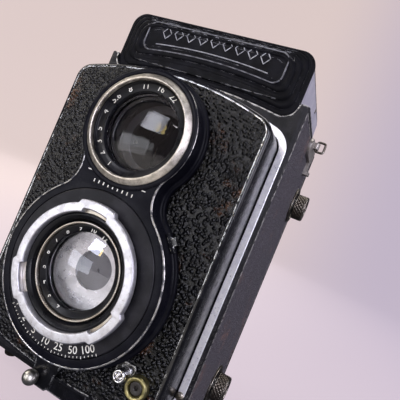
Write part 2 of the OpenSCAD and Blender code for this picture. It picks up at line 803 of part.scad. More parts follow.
module door_latch() {
    color([0.06, 0.06, 0.065]) difference() {
        union() {
            translate([0, latch_y, 1]) cylinder(r = 5.5, h = 2);
            box(-2.6, 2.6, latch_y - 9.5, latch_y, 1, 3);
        }
        translate([0, latch_y, 0]) cylinder(r = 1.6, h = 2);
    }
}
module pressure_plate() {
    color([0.15, 0.15, 0.16])
        box(-30, 30, film_y, film_y + 1.2, taking_z - 29.5, taking_z + 28.5);
}
module window_glass() {
    color([0.6, 0.05, 0.05, 0.6]) rod_y(5, back - 1.2, back - 0.6, window_x, window_z);
}
module window_cover() {
    color([0.1, 0.1, 0.1]) difference() {
        union() {
            rod_y(6.2, back + 0.15, back + 1.1, window_x, window_z);
            along_y(back + 0.15, back + 1.1) translate([window_x - 2.2, window_z])
                square([4.4, 9]);
            rod_y(2.6, back + 0.15, back + 1.1, window_x, window_z + 9);
        }
        rod_y(0.85, back, back + 2, window_x, window_z + 9);
    }
}

body_shell();
side_leathers();
front_flange();
case_screws();
nameplate();
finder_housing();
hinge_pins();
ground_glass();
reflex_mirror();
film_gate();
light_baffle();
strap_lugs();
knob_washers();
focus_scale_plate();
latch_catch();
board_shell();
board_leather();
bezel_plate();
viewing_barrel();
viewing_ring();
viewing_glass();
shutter_housing();
shutter_face();
bayonet_ring();
taking_cell();
taking_glass();
aperture_blades();
cable_socket();
sync_collar();
sync_insulator();
shutter_lever();
lever_stud();
speed_ring();
aperture_lever();
focus_knob();
focus_shaft();
winding_knob();
winding_shaft();
takeup_spool();
counter_dial();
upper_spool_knob();
lower_spool_knob();
upper_film_roller();
lower_film_roller();
hood_lid();
hood_side_left();
hood_side_right();
hood_rear_panel();
magnifier_frame();
magnifier_lens();
right_strap_loop();
left_strap_loop();
back_door();
door_leather();
door_feet();
tripod_bush();
door_latch();
pressure_plate();
window_glass();
window_cover();
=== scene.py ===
"""Twin lens reflex camera: the visual model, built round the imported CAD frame.

Lengths are in millimetres, except those of the stage and the lights, which are in metres.
"""

import math

import bmesh
import bpy
from mathutils import Matrix, Vector


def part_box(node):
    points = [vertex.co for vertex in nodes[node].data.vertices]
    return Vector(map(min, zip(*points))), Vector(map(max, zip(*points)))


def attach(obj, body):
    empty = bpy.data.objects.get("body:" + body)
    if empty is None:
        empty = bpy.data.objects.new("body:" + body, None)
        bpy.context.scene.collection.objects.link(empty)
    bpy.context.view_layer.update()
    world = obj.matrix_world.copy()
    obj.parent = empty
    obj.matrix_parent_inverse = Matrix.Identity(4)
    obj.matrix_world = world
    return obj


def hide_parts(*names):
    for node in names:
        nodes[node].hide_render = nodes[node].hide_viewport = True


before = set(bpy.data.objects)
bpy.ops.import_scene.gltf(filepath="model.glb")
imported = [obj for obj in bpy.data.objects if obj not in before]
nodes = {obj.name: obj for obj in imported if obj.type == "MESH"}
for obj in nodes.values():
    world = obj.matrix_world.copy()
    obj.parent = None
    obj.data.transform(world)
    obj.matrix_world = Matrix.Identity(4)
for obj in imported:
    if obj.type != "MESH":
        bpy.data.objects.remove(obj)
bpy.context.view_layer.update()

MM = 0.001
NEAR_AXIS = 0.02


def cad(node):
    """Lowest and highest corner of a CAD node, in mm."""
    low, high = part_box(node)
    return low / MM, high / MM


def middle(node):
    low, high = cad(node)
    return (low + high) / 2


def side_centre(node):
    """The middle of a node as seen along X: (y, z)."""
    low, high = cad(node)
    return (low.y + high.y) / 2, (low.z + high.z) / 2


def front_centre(node):
    """The middle of a node as seen along Y: (x, z)."""
    low, high = cad(node)
    return (low.x + high.x) / 2, (low.z + high.z) / 2


# ---- places taken from the frame
BOARD_Y = cad("board_leather")[0].y
TAKE = middle("speed_ring")
VIEW = middle("viewing_ring")
GAP = VIEW.z - TAKE.z
FRONT = cad("front_flange")[1].y
HALF = cad("body_shell")[1].x
BOARD_HALF = cad("board_shell")[1].x
BOARD_UP = cad("board_shell")[1].z - TAKE.z
BOARD_DOWN = TAKE.z - cad("board_shell")[0].z
BOARD_BACK = cad("board_shell")[1].y
PLATE_HIGH = cad("nameplate")[1]


# ---- materials
class Shader:
    """A material being built: short names for making and joining nodes."""

    def __init__(self, name):
        self.material = bpy.data.materials.new(name)
        self.material.use_nodes = True
        self.tree = self.material.node_tree
        self.surface = self.tree.nodes["Principled BSDF"]
        self.place = self.add("ShaderNodeTexCoord").outputs["Object"]

    def add(self, kind, **values):
        made = self.tree.nodes.new(kind)
        for key, value in values.items():
            if hasattr(made, key):
                setattr(made, key, value)
            else:
                made.inputs[key.replace("_", " ")].default_value = value
        return made

    def join(self, out, into):
        self.tree.links.new(out, into)

    def noise(self, size, detail=4.0, rough=0.55, place=None):
        """Noise whose features are about size mm across."""
        made = self.add("ShaderNodeTexNoise", Scale=1 / (size * MM), Detail=detail, Roughness=rough)
        self.join(place or self.place, made.inputs["Vector"])
        return made.outputs["Fac"]

    def cells(self, size, feature="F1", place=None):
        made = self.add("ShaderNodeTexVoronoi", feature=feature, Scale=1 / (size * MM))
        self.join(place or self.place, made.inputs["Vector"])
        return made.outputs["Distance"]

    def scale(self, value, low, high, to_low=0.0, to_high=1.0):
        made = self.add("ShaderNodeMapRange", interpolation_type="SMOOTHSTEP")
        for key, number in (("From Min", low), ("From Max", high), ("To Min", to_low), ("To Max", to_high)):
            made.inputs[key].default_value = number
        self.join(value, made.inputs["Value"])
        return made.outputs["Result"]

    def math(self, operation, a, b):
        made = self.add("ShaderNodeMath", operation=operation)
        for index, value in enumerate((a, b)):
            if isinstance(value, (int, float)):
                made.inputs[index].default_value = value
            else:
                self.join(value, made.inputs[index])
        return made.outputs[0]

    def mix(self, fac, a, b):
        made = self.add("ShaderNodeMix", data_type="RGBA")
        self.join(fac, made.inputs[0])
        for socket, value in ((made.inputs[6], a), (made.inputs[7], b)):
            if isinstance(value, tuple):
                socket.default_value = (*value, 1)
            else:
                self.join(value, socket)
        return made.outputs[2]

    def bump(self, height, depth, strength=1.0, under=None):
        """Relief of depth mm."""
        made = self.add("ShaderNodeBump", Strength=strength, Distance=depth * MM)
        self.join(height, made.inputs["Height"])
        if under is not None:
            self.join(under, made.inputs["Normal"])
        return made.outputs["Normal"]

    def edges(self, width, patch, low=0.03, high=0.14):
        """Where an edge of the shape is, broken up by patches of patch mm: 1 at a worn edge."""
        soft = self.add("ShaderNodeBevel", samples=4, Radius=width * MM)
        here = self.add("ShaderNodeNewGeometry").outputs["Normal"]
        dot = self.add("ShaderNodeVectorMath", operation="DOT_PRODUCT")
        self.join(soft.outputs[0], dot.inputs[0])
        self.join(here, dot.inputs[1])
        sharp = self.math("SUBTRACT", 1.0, dot.outputs["Value"])
        broken = self.math("MULTIPLY", sharp, self.scale(self.noise(patch, 6, 0.65), 0.42, 0.6, 0.0, 2.0))
        return self.scale(broken, low, high)

    def finish(self, colour, rough, metal=None, normal=None, **constants):
        target = self.surface.inputs
        for key, value in (("Base Color", colour), ("Roughness", rough), ("Metallic", metal),
                           ("Normal", normal)):
            if value is None:
                continue
            if isinstance(value, tuple):
                target[key].default_value = (*value, 1)
            elif isinstance(value, (int, float)):
                target[key].default_value = value
            else:
                self.join(value, target[key])
        for key, value in constants.items():
            target[key.replace("_", " ")].default_value = value
        return self.material


def enamel(name, base, tint, rough=(0.16, 0.34), grain=0.5, relief=0.01, wear=None, metal=(0.75, 0.73, 0.7),
           gloss=0.5):
    """Stove enamel: slight orange peel and dust; wear=(edge width, patch size, low, high) bares the metal."""
    s = Shader(name)
    colour = s.mix(s.scale(s.noise(6), 0.35, 0.7), base, tint)
    roughness = s.scale(s.noise(2.2, 6), 0.3, 0.75, *rough)
    specks = s.scale(s.noise(0.35, 2), 0.7, 0.78)
    dust = tuple(min(1, 2.2 * c + 0.03) for c in tint)
    colour = s.mix(specks, colour, dust)
    normal = s.bump(s.noise(grain, 3), relief)
    if not wear:
        return s.finish(colour, roughness, 0.0, normal, Specular_IOR_Level=gloss)
    bare = s.edges(*wear)
    colour = s.mix(bare, colour, metal)
    roughness = s.math("ADD", roughness, s.math("MULTIPLY", bare, 0.12))
    return s.finish(colour, roughness, bare, normal, Specular_IOR_Level=gloss)


def metal(name, base, tint, rough=(0.22, 0.42), patch=3.0, relief=0.006, grain=0.25, dark=None, edge=None,
          shine=1.0):
    """Plated or polished metal with tarnish, fine scratches and pits; dark is the colour of grime specks."""
    s = Shader(name)
    colour = s.mix(s.scale(s.noise(patch, 5, 0.6), 0.38, 0.66), base, tint)
    if dark:
        colour = s.mix(s.scale(s.noise(0.45, 3), 0.64, 0.72), colour, dark)
    if edge:
        colour = s.mix(s.edges(0.5, 2.0), colour, edge)
    roughness = s.scale(s.noise(1.4, 6), 0.3, 0.7, *rough)
    return s.finish(colour, roughness, shine, s.bump(s.noise(grain, 4), relief))


def leather(name, base, tint, crest_highlight, cell=0.95, relief=0.16, rough=(0.3, 0.55), worn=(0.16, 0.085, 0.05),
            amount=0.62, sheen=0.4):
    """Pebbled leather: rounded cells with creases between them and worn brown patches; the creases are left
    darker as painted shade, and the crests are painted paler as a painted highlight.
    """
    s = Shader(name)
    warp = s.add("ShaderNodeVectorMath", operation="SCALE", Scale=0.5 * cell * MM)
    noise = s.add("ShaderNodeTexNoise", Scale=1 / (1.3 * cell * MM), Detail=3.0)
    s.join(s.place, noise.inputs["Vector"])
    s.join(noise.outputs["Color"], warp.inputs[0])
    moved = s.add("ShaderNodeVectorMath", operation="ADD")
    s.join(s.place, moved.inputs[0])
    s.join(warp.outputs[0], moved.inputs[1])
    pebble = s.scale(s.cells(cell, "F1", moved.outputs[0]), 0.05, 0.75, 1.0, 0.0)
    fine = s.noise(0.3 * cell, 4)
    height = s.math("ADD", pebble, s.math("MULTIPLY", fine, 0.35))
    # Painted shade: pebble tops take the paler tint, and the creases between them keep the darker base.
    colour = s.mix(s.scale(pebble, 0.35, 0.95), base, tint)
    # Painted highlight: the crests are painted in the paler crest colour.
    colour = s.mix(s.scale(s.math("MULTIPLY", pebble, s.noise(4, 4)), 0.5, 0.62), colour, crest_highlight)
    large = s.scale(s.noise(11, 5, 0.6), amount, amount + 0.1)
    small = s.scale(s.noise(0.8, 4), 0.42, 0.6)
    colour = s.mix(s.math("MULTIPLY", large, small), colour, worn)
    roughness = s.scale(s.math("ADD", pebble, s.noise(3, 4)), 0.5, 1.4, rough[1], rough[0])
    return s.finish(colour, roughness, 0.0, s.bump(height, relief), Specular_IOR_Level=sheen)


def glass(name, tint, rough=0.0, ior=1.5, coat=None):
    """Clear or ground glass with a little dust; coat tints what it reflects."""
    s = Shader(name)
    dust = s.scale(s.noise(0.3, 3), 0.66, 0.8, rough, rough + 0.12)
    constants = {"Transmission_Weight": 1.0, "IOR": ior}
    if coat:
        constants["Specular_Tint"] = (*coat, 1)
    return s.finish(tint, dust, 0.0, s.bump(s.noise(7, 2), 0.002), **constants)


BLACK = (0.004, 0.004, 0.005)
INK = (0.008, 0.008, 0.011)
MATS = {
    "rim": enamel("rim_enamel", BLACK, INK, (0.14, 0.3), wear=(0.9, 2.2, 0.08, 0.19),
                  metal=(0.85, 0.85, 0.86)),
    # Painted highlight: this enamel's grey stands for the bright outline on the bezel's rounded front rim;
    # its bare-metal edges are wear.
    "rim_highlight_and_wear": enamel("rim_highlight_and_wear", (0.06, 0.06, 0.065), (0.12, 0.12, 0.13), (0.2, 0.35),
                       wear=(0.3, 2.0, 0.02, 0.1)),
    "bezel": enamel("bezel_enamel", (0.004, 0.004, 0.007), (0.009, 0.009, 0.013), (0.26, 0.4), gloss=0.07),
    "barrel": enamel("barrel_enamel", BLACK, INK, (0.25, 0.42), gloss=0.2),
    "matt_black": enamel("matt_black", (0.009, 0.009, 0.01), (0.016, 0.016, 0.018), (0.55, 0.75), grain=0.2,
                         relief=0.02),
    "crackle": enamel("crackle_enamel", (0.007, 0.007, 0.008), (0.018, 0.017, 0.02), (0.42, 0.62), 0.35,
                      0.09, (1.0, 1.4, 0.03, 0.14), gloss=0.2),
    "plate": enamel("nameplate_enamel", BLACK, INK, (0.36, 0.52), wear=(0.3, 3.0, 0.05, 0.18),
                    metal=(0.3, 0.3, 0.32), gloss=0.05),
    "plate_line": metal("nameplate_line", (0.5, 0.5, 0.54), (0.26, 0.26, 0.29), (0.4, 0.55), 2.0,
                        dark=(0.03, 0.03, 0.03), shine=0.6),
    "plate_edge": metal("plate_edge", (0.2, 0.2, 0.22), (0.06, 0.06, 0.07), (0.4, 0.55), 1.6,
                        dark=(0.02, 0.02, 0.02), shine=0.6),
    "lid": enamel("lid_enamel", BLACK, INK, (0.22, 0.38), wear=(0.3, 5.0, 0.08, 0.25), gloss=0.3),
    "grey": enamel("grey_enamel", (0.47, 0.45, 0.52), (0.56, 0.54, 0.6), (0.36, 0.5), 0.4, 0.012,
                   (0.25, 5.0, 0.1, 0.3)),
    "leaf": metal("shutter_leaf", (0.05, 0.05, 0.055), (0.03, 0.03, 0.034), (0.3, 0.45), 4.0),
    "shutter_grey": enamel("shutter_grey", (0.012, 0.0117, 0.014), (0.026, 0.025, 0.029), (0.34, 0.48), 0.3,
                           0.01, gloss=0.12),
    "leather": leather("front_leather", (0.001, 0.001, 0.0014), (0.006, 0.006, 0.008), (0.034, 0.033, 0.04),
                       1.1, 0.5, (0.08, 0.2), (0.1, 0.045, 0.022), 0.57, 0.36),
    # Painted reflection: this leather is black, and its lavender-grey colours paint the sheen of the pale
    # backdrop on it.
    "side_leather": leather("side_leather", (0.06, 0.054, 0.063), (0.22, 0.198, 0.234), (0.42, 0.38, 0.44),
                            0.62, 0.32, (0.42, 0.6), (0.2, 0.11, 0.09), 0.58),
    "flange": metal("flange_silver", (1.0, 0.99, 1.0), (0.84, 0.83, 0.88), (0.36, 0.5), 2.0, 0.03, 0.3,
                    (0.2, 0.19, 0.21), shine=0.5),
    "warm_ring": metal("warm_nickel", (0.42, 0.39, 0.35), (0.3, 0.26, 0.21), (0.28, 0.42), 5.0, 0.01, 0.3,
                       (0.2, 0.17, 0.13)),
    "view_ring": metal("viewing_nickel", (0.72, 0.67, 0.6), (0.48, 0.44, 0.38), (0.36, 0.5), 1.6, 0.02, 0.4,
                       (0.07, 0.06, 0.05)),
    "white_ring": metal("white_chrome", (0.62, 0.62, 0.66), (0.44, 0.43, 0.45), (0.3, 0.42), 3.0, 0.01, 0.3,
                        (0.3, 0.28, 0.26), shine=0.7),
    "bright": metal("bright_plating", (0.8, 0.8, 0.82), (0.62, 0.6, 0.58), (0.12, 0.26), 2.5,
                    dark=(0.12, 0.11, 0.1)),
    "pewter": metal("pewter", (0.6, 0.58, 0.54), (0.42, 0.4, 0.36), (0.28, 0.42), 1.2, 0.02, 0.4,
                    (0.12, 0.11, 0.1)),
    "brown_nickel": metal("brown_nickel", (0.14, 0.12, 0.1), (0.075, 0.063, 0.052), (0.3, 0.5), 2.0, 0.01,
                          0.3, (0.05, 0.04, 0.03), (0.6, 0.57, 0.5)),
    "old_nickel": metal("old_nickel", (0.46, 0.43, 0.4), (0.3, 0.27, 0.24), (0.34, 0.5), 1.5, 0.02, 0.4,
                        (0.08, 0.07, 0.06), shine=0.6),
    "steel": metal("plain_steel", (0.42, 0.42, 0.43), (0.3, 0.3, 0.31), (0.25, 0.42)),
    "olive_brass": metal("olive_brass", (0.42, 0.37, 0.17), (0.22, 0.2, 0.1), (0.3, 0.5), 1.2, 0.02, 0.4,
                         (0.05, 0.045, 0.03)),
    "mirror": metal("silvered", (0.86, 0.87, 0.88), (0.8, 0.81, 0.82), (0.01, 0.05), 8.0, 0.0005),
    "paint": enamel("white_filling", (0.92, 0.9, 0.82), (0.74, 0.7, 0.6), (0.45, 0.6), 0.2, 0.01),
    "bakelite": enamel("bakelite", (0.02, 0.017, 0.015), (0.035, 0.03, 0.026), (0.35, 0.5)),
    "lens": glass("coated_glass", (0.97, 0.98, 1.0), ior=1.3),
    "front_lens": glass("front_lens", (0.95, 0.97, 1.0), ior=1.7, coat=(0.86, 0.9, 1.0)),
    "ground": glass("ground_glass", (0.86, 0.88, 0.86), 0.35),
    "red": glass("red_glass", (0.55, 0.01, 0.01)),
}


# ---- ways of making pieces
def piece(name, mesh, look, body, replaced=()):
    """An object from a mesh in mm, in the row frame, riding on a body."""
    mesh.transform(Matrix.Scale(MM, 4))
    obj = bpy.data.objects.new(name, mesh)
    bpy.context.scene.collection.objects.link(obj)
    mesh.materials.clear()
    mesh.materials.append(MATS[look])
    for face in mesh.polygons:
        face.use_smooth = True
    mesh.set_sharp_from_angle(angle=math.radians(38))
    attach(obj, body)
    if replaced:
        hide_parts(*replaced)
    return obj


def skin(rings, closed=True):
    """A mesh through rings of points; closed joins the last ring to the first."""
    made = bmesh.new()
    rows = [[made.verts.new(p) for p in ring] for ring in rings]
    count = len(rows[0])
    pairs = list(zip(rows, rows[1:] + rows[:1])) if closed else list(zip(rows, rows[1:]))
    for a, b in pairs:
        for i in range(count):
            j = (i + 1) % count
            made.faces.new((a[i], a[j], b[j], b[i]))
    if not closed:
        made.faces.new(rows[0])
        made.faces.new(rows[-1])
    bmesh.ops.recalc_face_normals(made, faces=made.faces)
    mesh = bpy.data.meshes.new("skin")
    made.to_mesh(mesh)
    made.free()
    return mesh


def rounded(points, radius, steps=4):
    """The (a, b) profile with every corner rounded; radius is one number or one per point."""
    radii = radius if isinstance(radius, (list, tuple)) else [radius] * len(points)
    out = []
    count = len(points)
    for i, (p, r) in enumerate(zip(points, radii)):
        here = Vector(p)
        back, on = Vector(points[i - 1]) - here, Vector(points[(i + 1) % count]) - here
        if r <= 0 or back.length < 1e-6 or on.length < 1e-6:
            out.append(tuple(here))
            continue
        reach = min(r, 0.45 * back.length, 0.45 * on.length)
        a, b = here + back.normalized() * reach, here + on.normalized() * reach
        for k in range(steps + 1):
            t = k / steps
            out.append(tuple(a * (1 - t) ** 2 + here * 2 * t * (1 - t) + b * t**2))
    return out


def turn(profile, centre, axis="Y", seg=144, ripple=None):
    """Rings of a turned shape: profile is (radius, distance along axis); ripple changes the radius."""
    rings = []
    for r, along in profile:
        ring = []
        for i in range(seg):
            angle = 2 * math.pi * i / seg
            radius = r + (ripple(angle, r, along) if ripple else 0)
            u, v = radius * math.cos(angle), radius * math.sin(angle)
            if axis == "Y":
                ring.append((centre[0] + u, along, centre[1] + v))
            elif axis == "X":
                ring.append((along, centre[0] + u, centre[1] + v))
            else:
                ring.append((centre[0] + u, centre[1] + v, along))
        rings.append(ring)
    return rings


def ring_piece(name, profile, centre, look, replaced=(), round_by=0.15, seg=144, ripple=None,
               body="lens_board"):
    """A ring round a lens or socket: profile is (radius, distance behind the board's front plane)."""
    placed = [(r, BOARD_Y + behind) for r, behind in profile]
    mesh = skin(turn(rounded(placed, round_by), centre, "Y", seg, ripple))
    return piece(name, mesh, look, body, replaced)


def disc_rings(profile, centre, axis="Y", seg=96, ripple=None):
    """A turned solid whose profile starts and ends near the axis."""
    return skin(turn(profile, centre, axis, seg, ripple), closed=False)


def arc(cx, cy, r, a, b, count):
    span = [math.radians(a + (b - a) * i / count) for i in range(count + 1)]
    return [(cx + r * math.cos(t), cy + r * math.sin(t)) for t in span]


def circle(x, z, r, count=96):
    return arc(x, z, r, 0, 360 * (count - 1) / count, count - 1)


def plate(name, outlines, y0, y1, edge, look, body, replaced=(), axis="Y"):
    """A flat plate with bevelled edges from y0 (front) to y1; inner outlines are holes."""
    curve = bpy.data.curves.new(name, "CURVE")
    curve.dimensions = "2D"
    curve.fill_mode = "BOTH"
    curve.extrude = (y1 - y0) / 2 - edge
    curve.bevel_depth = edge
    curve.bevel_resolution = 3
    curve.offset = -edge
    for points in outlines:
        spline = curve.splines.new("POLY")
        spline.points.add(len(points) - 1)
        for point, (x, z) in zip(spline.points, points):
            point.co = (x, z, 0, 1)
        spline.use_cyclic_u = True
    holder = bpy.data.objects.new(name, curve)
    bpy.context.scene.collection.objects.link(holder)
    bpy.context.view_layer.update()
    graph = bpy.context.evaluated_depsgraph_get()
    mesh = bpy.data.meshes.new_from_object(holder.evaluated_get(graph))
    bpy.data.objects.remove(holder)
    if axis == "Y":
        mesh.transform(Matrix.Translation((0, (y0 + y1) / 2,
                                           0)) @ Matrix.Rotation(math.radians(90), 4, "X"))
    elif axis == "X":
        turned = Matrix(((0, 0, 1, 0), (1, 0, 0, 0), (0, 1, 0, 0), (0, 0, 0, 1)))
        mesh.transform(Matrix.Translation(((y0 + y1) / 2, 0, 0)) @ turned)
    else:
        mesh.transform(Matrix.Translation((0, 0, (y0 + y1) / 2)))
    tidy = bmesh.new()
    tidy.from_mesh(mesh)
    bmesh.ops.remove_doubles(tidy, verts=tidy.verts, dist=1e-4)
    tidy.to_mesh(mesh)
    tidy.free()
    return piece(name, mesh, look, body, replaced)


def tube(name, points, r, look, body, replaced=(), closed=True, seg=10):
    """A round wire through points."""
    rings = []
    count = len(points)
    path = [Vector(p) for p in points]
    for i, p in enumerate(path):
        if closed:
            ahead = path[(i + 1) % count] - path[i - 1]
        else:
            ahead = path[min(i + 1, count - 1)] - path[max(i - 1, 0)]
        ahead.normalize()
        side = ahead.cross(Vector((0.13, 0.27,
                                   0.95)) if abs(ahead.z) < 0.9 else Vector((1, 0.1, 0))).normalized()
        other = ahead.cross(side)
        ring = []
        for k in range(seg):
            t = 2 * math.pi * k / seg
            ring.append(p + side * r * math.cos(t) + other * r * math.sin(t))
        rings.append(ring)
    return piece(name, skin(rings, closed), look, body, replaced)


def joined(name, meshes, look, body, replaced=()):
    """Several meshes in mm as one piece."""
    made = bmesh.new()
    for mesh in meshes:
        made.from_mesh(mesh)
    out = bpy.data.meshes.new(name)
    made.to_mesh(out)
    made.free()
    return piece(name, out, look, body, replaced)


def block(size, place, turn_by=0.0, axis="Y", edge=0.0):
    """A small bevelled bar, size and place in mm, turned about an axis."""
    made = bmesh.new()
    bmesh.ops.create_cube(made, size=1)
    bmesh.ops.scale(made, vec=size, verts=made.verts)
    if edge:
        bmesh.ops.bevel(made, geom=made.edges[:], offset=edge, segments=2, affect="EDGES")
    spin = Matrix.Rotation(turn_by, 4, axis)
    bmesh.ops.transform(made, matrix=Matrix.Translation(place) @ spin, verts=made.verts)
    mesh = bpy.data.meshes.new("block")
    made.to_mesh(mesh)
    made.free()
    return mesh


def figure(text, size, place, facing, spin=0.0, thick=0.03):
    """One number as a raised mesh: facing is a 3 x 3 turn from the text's own plane."""
    curve = bpy.data.curves.new("figure", "FONT")
    curve.body = text
    curve.size = size
    curve.align_x = "CENTER"
    curve.align_y = "CENTER"
    curve.extrude = thick
    curve.resolution_u = 3
    holder = bpy.data.objects.new("figure", curve)
    bpy.context.scene.collection.objects.link(holder)
    bpy.context.view_layer.update()
    graph = bpy.context.evaluated_depsgraph_get()
    mesh = bpy.data.meshes.new_from_object(holder.evaluated_get(graph))
    bpy.data.objects.remove(holder)
    mesh.transform(Matrix.Translation(place) @ facing @ Matrix.Rotation(spin, 4, "Z"))
    return mesh


FACE_FRONT = Matrix.Rotation(math.radians(90), 4, "X")
FACE_LEFT = Matrix.Rotation(math.radians(-90), 4, "Z") @ Matrix.Rotation(math.radians(90), 4, "X")


def scale_marks(centre, y, r, start, end, count, long_every, length, width):
    """Radial tick marks on a front-facing ring."""
    out = []
    for i in range(count):
        angle = math.radians(start + (end - start) * i / (count - 1))
        long = length * (1.6 if i % long_every == 0 else 1)
        mid = r + long / 2
        place = (centre.x + mid * math.cos(angle), y, centre.z + mid * math.sin(angle))
        out.append(block((long, 0.06, width), place, -angle, "Y"))
    return out


def figures_round(texts, size, centre, y, r, start, end, feet=-1):
    """Numbers set round a front-facing ring, feet towards the middle, or outwards with feet=1."""
    out = []
    for i, text in enumerate(texts):
        angle = math.radians(start + (end - start) * i / max(1, len(texts) - 1))
        place = (centre.x + r * math.cos(angle), y, centre.z + r * math.sin(angle))
        out.append(figure(text, size, place, FACE_FRONT, angle + feet * math.pi / 2))
    return out


def finish_cad(node, look, edge=0.2, segments=2):
    """A CAD node that stays: its material, and small rounded edges where they are sharp."""
    obj = nodes[node]
    obj.data.materials.clear()
    obj.data.materials.append(MATS[look])
    if edge:
        weld = obj.modifiers.new("weld", "WELD")
        weld.merge_threshold = 1e-6
        bevel = obj.modifiers.new("edges", "BEVEL")
        bevel.width = edge * MM
        bevel.segments = segments
        bevel.limit_method = "ANGLE"
        bevel.angle_limit = math.radians(40)
        bevel.harden_normals = False
        bevel.use_clamp_overlap = True


# ---- outlines, as functions of their inset
CORNER, ARCH_TOP, ARCH_LOW = 5.2, 98.0, 140.0


def board_outline(inset):
    """The lens board's outline (x, z), with arched top and bottom, inset all round."""
    w, up, down = BOARD_HALF - inset, BOARD_UP - inset, BOARD_DOWN - inset
    ra, rb, rc = ARCH_TOP - inset, ARCH_LOW - inset, max(CORNER - inset, 0.4)
    xa = w - rc
    za = up - ra + math.sqrt((ra - rc) ** 2 - xa**2)
    zb = -down + rb - math.sqrt((rb - rc) ** 2 - xa**2)
    ta = math.degrees(math.atan2(za - up + ra, xa))
    tb = math.degrees(math.atan2(zb + down - rb, xa))
    points = arc(xa, zb, rc, tb, 0, 12)
    points += [(w, zb + (za - zb) * k / 24) for k in range(1, 24)]
    points += arc(xa, za, rc, 0, ta, 12) + arc(0, up - ra, ra, ta, 180 - ta, 48)[1:-1]
    points += arc(-xa, za, rc, 180 - ta, 180, 12)
    points += [(-w, za + (zb - za) * k / 24) for k in range(1, 24)]
    points += arc(-xa, zb, rc, 180, 180 - tb, 12) + arc(0, -down + rb, rb, -180 - tb, tb, 48)[1:-1]
    return [(x, z + TAKE.z) for x, z in points]


RT, RV, WAIST = 25.6, 17.4, 9.0


def eight_outline(grow):
    """The outline round both lenses, with its hollow waists."""
    a, b, w, d = RT + grow, RV + grow, WAIST - grow, GAP
    zf = ((a + w) ** 2 - (b + w) ** 2 + d * d) / (2 * d)
    xf = math.sqrt((a + w) ** 2 - zf * zf)
    low = math.degrees(math.atan2(zf, xf))
    high = math.degrees(math.atan2(zf - d, xf))
    points = arc(0, 0, a, 180 - low, 360 + low, 72)
    points += arc(xf, zf, w, 180 + low, 180 + high, 20)[1:-1]
    points += arc(0, d, b, high, 180 - high, 56)
    points += arc(-xf, zf, w, -high, -low, 20)[1:-1]
    return [(x, z + TAKE.z) for x, z in points]


PLATE_BOW = 168.0


def plate_outline(inset):
    """The nameplate's outline: flat top, round corners, bottom edge bowed upwards."""
    w, r = PLATE_HIGH.x - inset, 4.6 - inset / 3
    xa, rb = w - r, PLATE_BOW
    low = TAKE.z + 67.3 + inset - (rb - math.sqrt(rb * rb - w * w)) + 2.9
    za = low - rb + math.sqrt((rb + r) ** 2 - xa * xa)
    tb = math.degrees(math.atan2(za - low + rb, xa))
    top = PLATE_HIGH.z - (0.6 * inset)
    points = arc(xa, za, r, tb - 180, 0, 12)
    points += arc(w - 5, top - 5, 5, 0, 90, 12)
    points += [((w - 5) * (1 - k / 12), top) for k in range(1, 24)]
    points += arc(-w + 5, top - 5, 5, 90, 180, 12)
    points += arc(-xa, za, r, 180, 360 - tb, 12)
    points += arc(0, low - rb, rb, 180 - tb, tb, 36)[1:-1]
    return points


def at_depth(outline, y):
    return [(x, y, z) for x, z in outline]


# ---- body
for node, look, edge in (
    ("body_shell", "crackle", 0.35), ("side_leathers", "side_leather", 0.2),
    ("front_flange", "flange", 0.2), ("finder_housing", "grey", 0.25), ("hinge_pins", "steel", 0),
    ("ground_glass", "ground", 0.1), ("reflex_mirror", "mirror", 0.1), ("film_gate", "matt_black", 0.2),
    ("light_baffle", "matt_black", 0.2), ("strap_lugs", "old_nickel", 0.25), ("latch_catch", "rim", 0.3),
    ("aperture_blades", "steel", 0), ("focus_shaft", "steel", 0.15), ("winding_shaft", "steel", 0.2),
    ("takeup_spool", "matt_black", 0.15), ("upper_film_roller", "bright", 0.2),
    ("lower_film_roller", "bright", 0.2), ("hood_lid", "lid", 0.3), ("hood_side_left", "matt_black", 0.1),
    ("hood_side_right", "matt_black", 0.1), ("hood_rear_panel", "matt_black", 0.1),
    ("magnifier_frame", "barrel", 0.2), ("magnifier_lens", "lens", 0), ("back_door", "crackle", 0.35),
    ("door_leather", "side_leather", 0.15), ("tripod_bush", "steel", 0.3),
    ("door_latch", "brown_nickel", 0.4), ("pressure_plate", "matt_black", 0.3),
    ("window_glass", "red", 0), ("window_cover", "barrel", 0.2), ("board_leather", "leather", 0.12),
    ("aperture_lever", "rim", 0.15), ("focus_scale_plate", "warm_ring", 0.2),
    ("knob_washers", "brown_nickel", 0.2),
):
    finish_cad(node, look, edge)


def slotted_screw(r, height, place, out, slot_turn, look, body, name):
    """A round-head screw with a slot; out is the direction its head faces."""
    dome = [(NEAR_AXIS, height)]
    dome += [(r * math.sin(t), height * math.cos(t)) for t in (0.3, 0.6, 0.9, 1.2, 1.45)]
    mesh = disc_rings(dome + [(r, 0), (r, -0.4), (NEAR_AXIS, -0.4)], (0, 0), "Z", 32)
    bar = block((3 * r, 0.32 * r, height), (0, 0, height * 0.95), slot_turn, "Z")
    cut = bpy.data.objects.new("cut", bar)
    head = bpy.data.objects.new("head", mesh)
    for obj in (cut, head):
        bpy.context.scene.collection.objects.link(obj)
    carve = head.modifiers.new("slot", "BOOLEAN")
    carve.operation = "DIFFERENCE"
    carve.solver = "EXACT"
    carve.object = cut
    bpy.context.view_layer.update()
    done = bpy.data.meshes.new_from_object(head.evaluated_get(bpy.context.evaluated_depsgraph_get()))
    bpy.data.objects.remove(head)
    bpy.data.objects.remove(cut)
    spin = Vector((0, 0, 1)).rotation_difference(Vector(out)).to_matrix().to_4x4()
    done.transform(Matrix.Translation(place) @ spin)
    return piece(name, done, look, body)


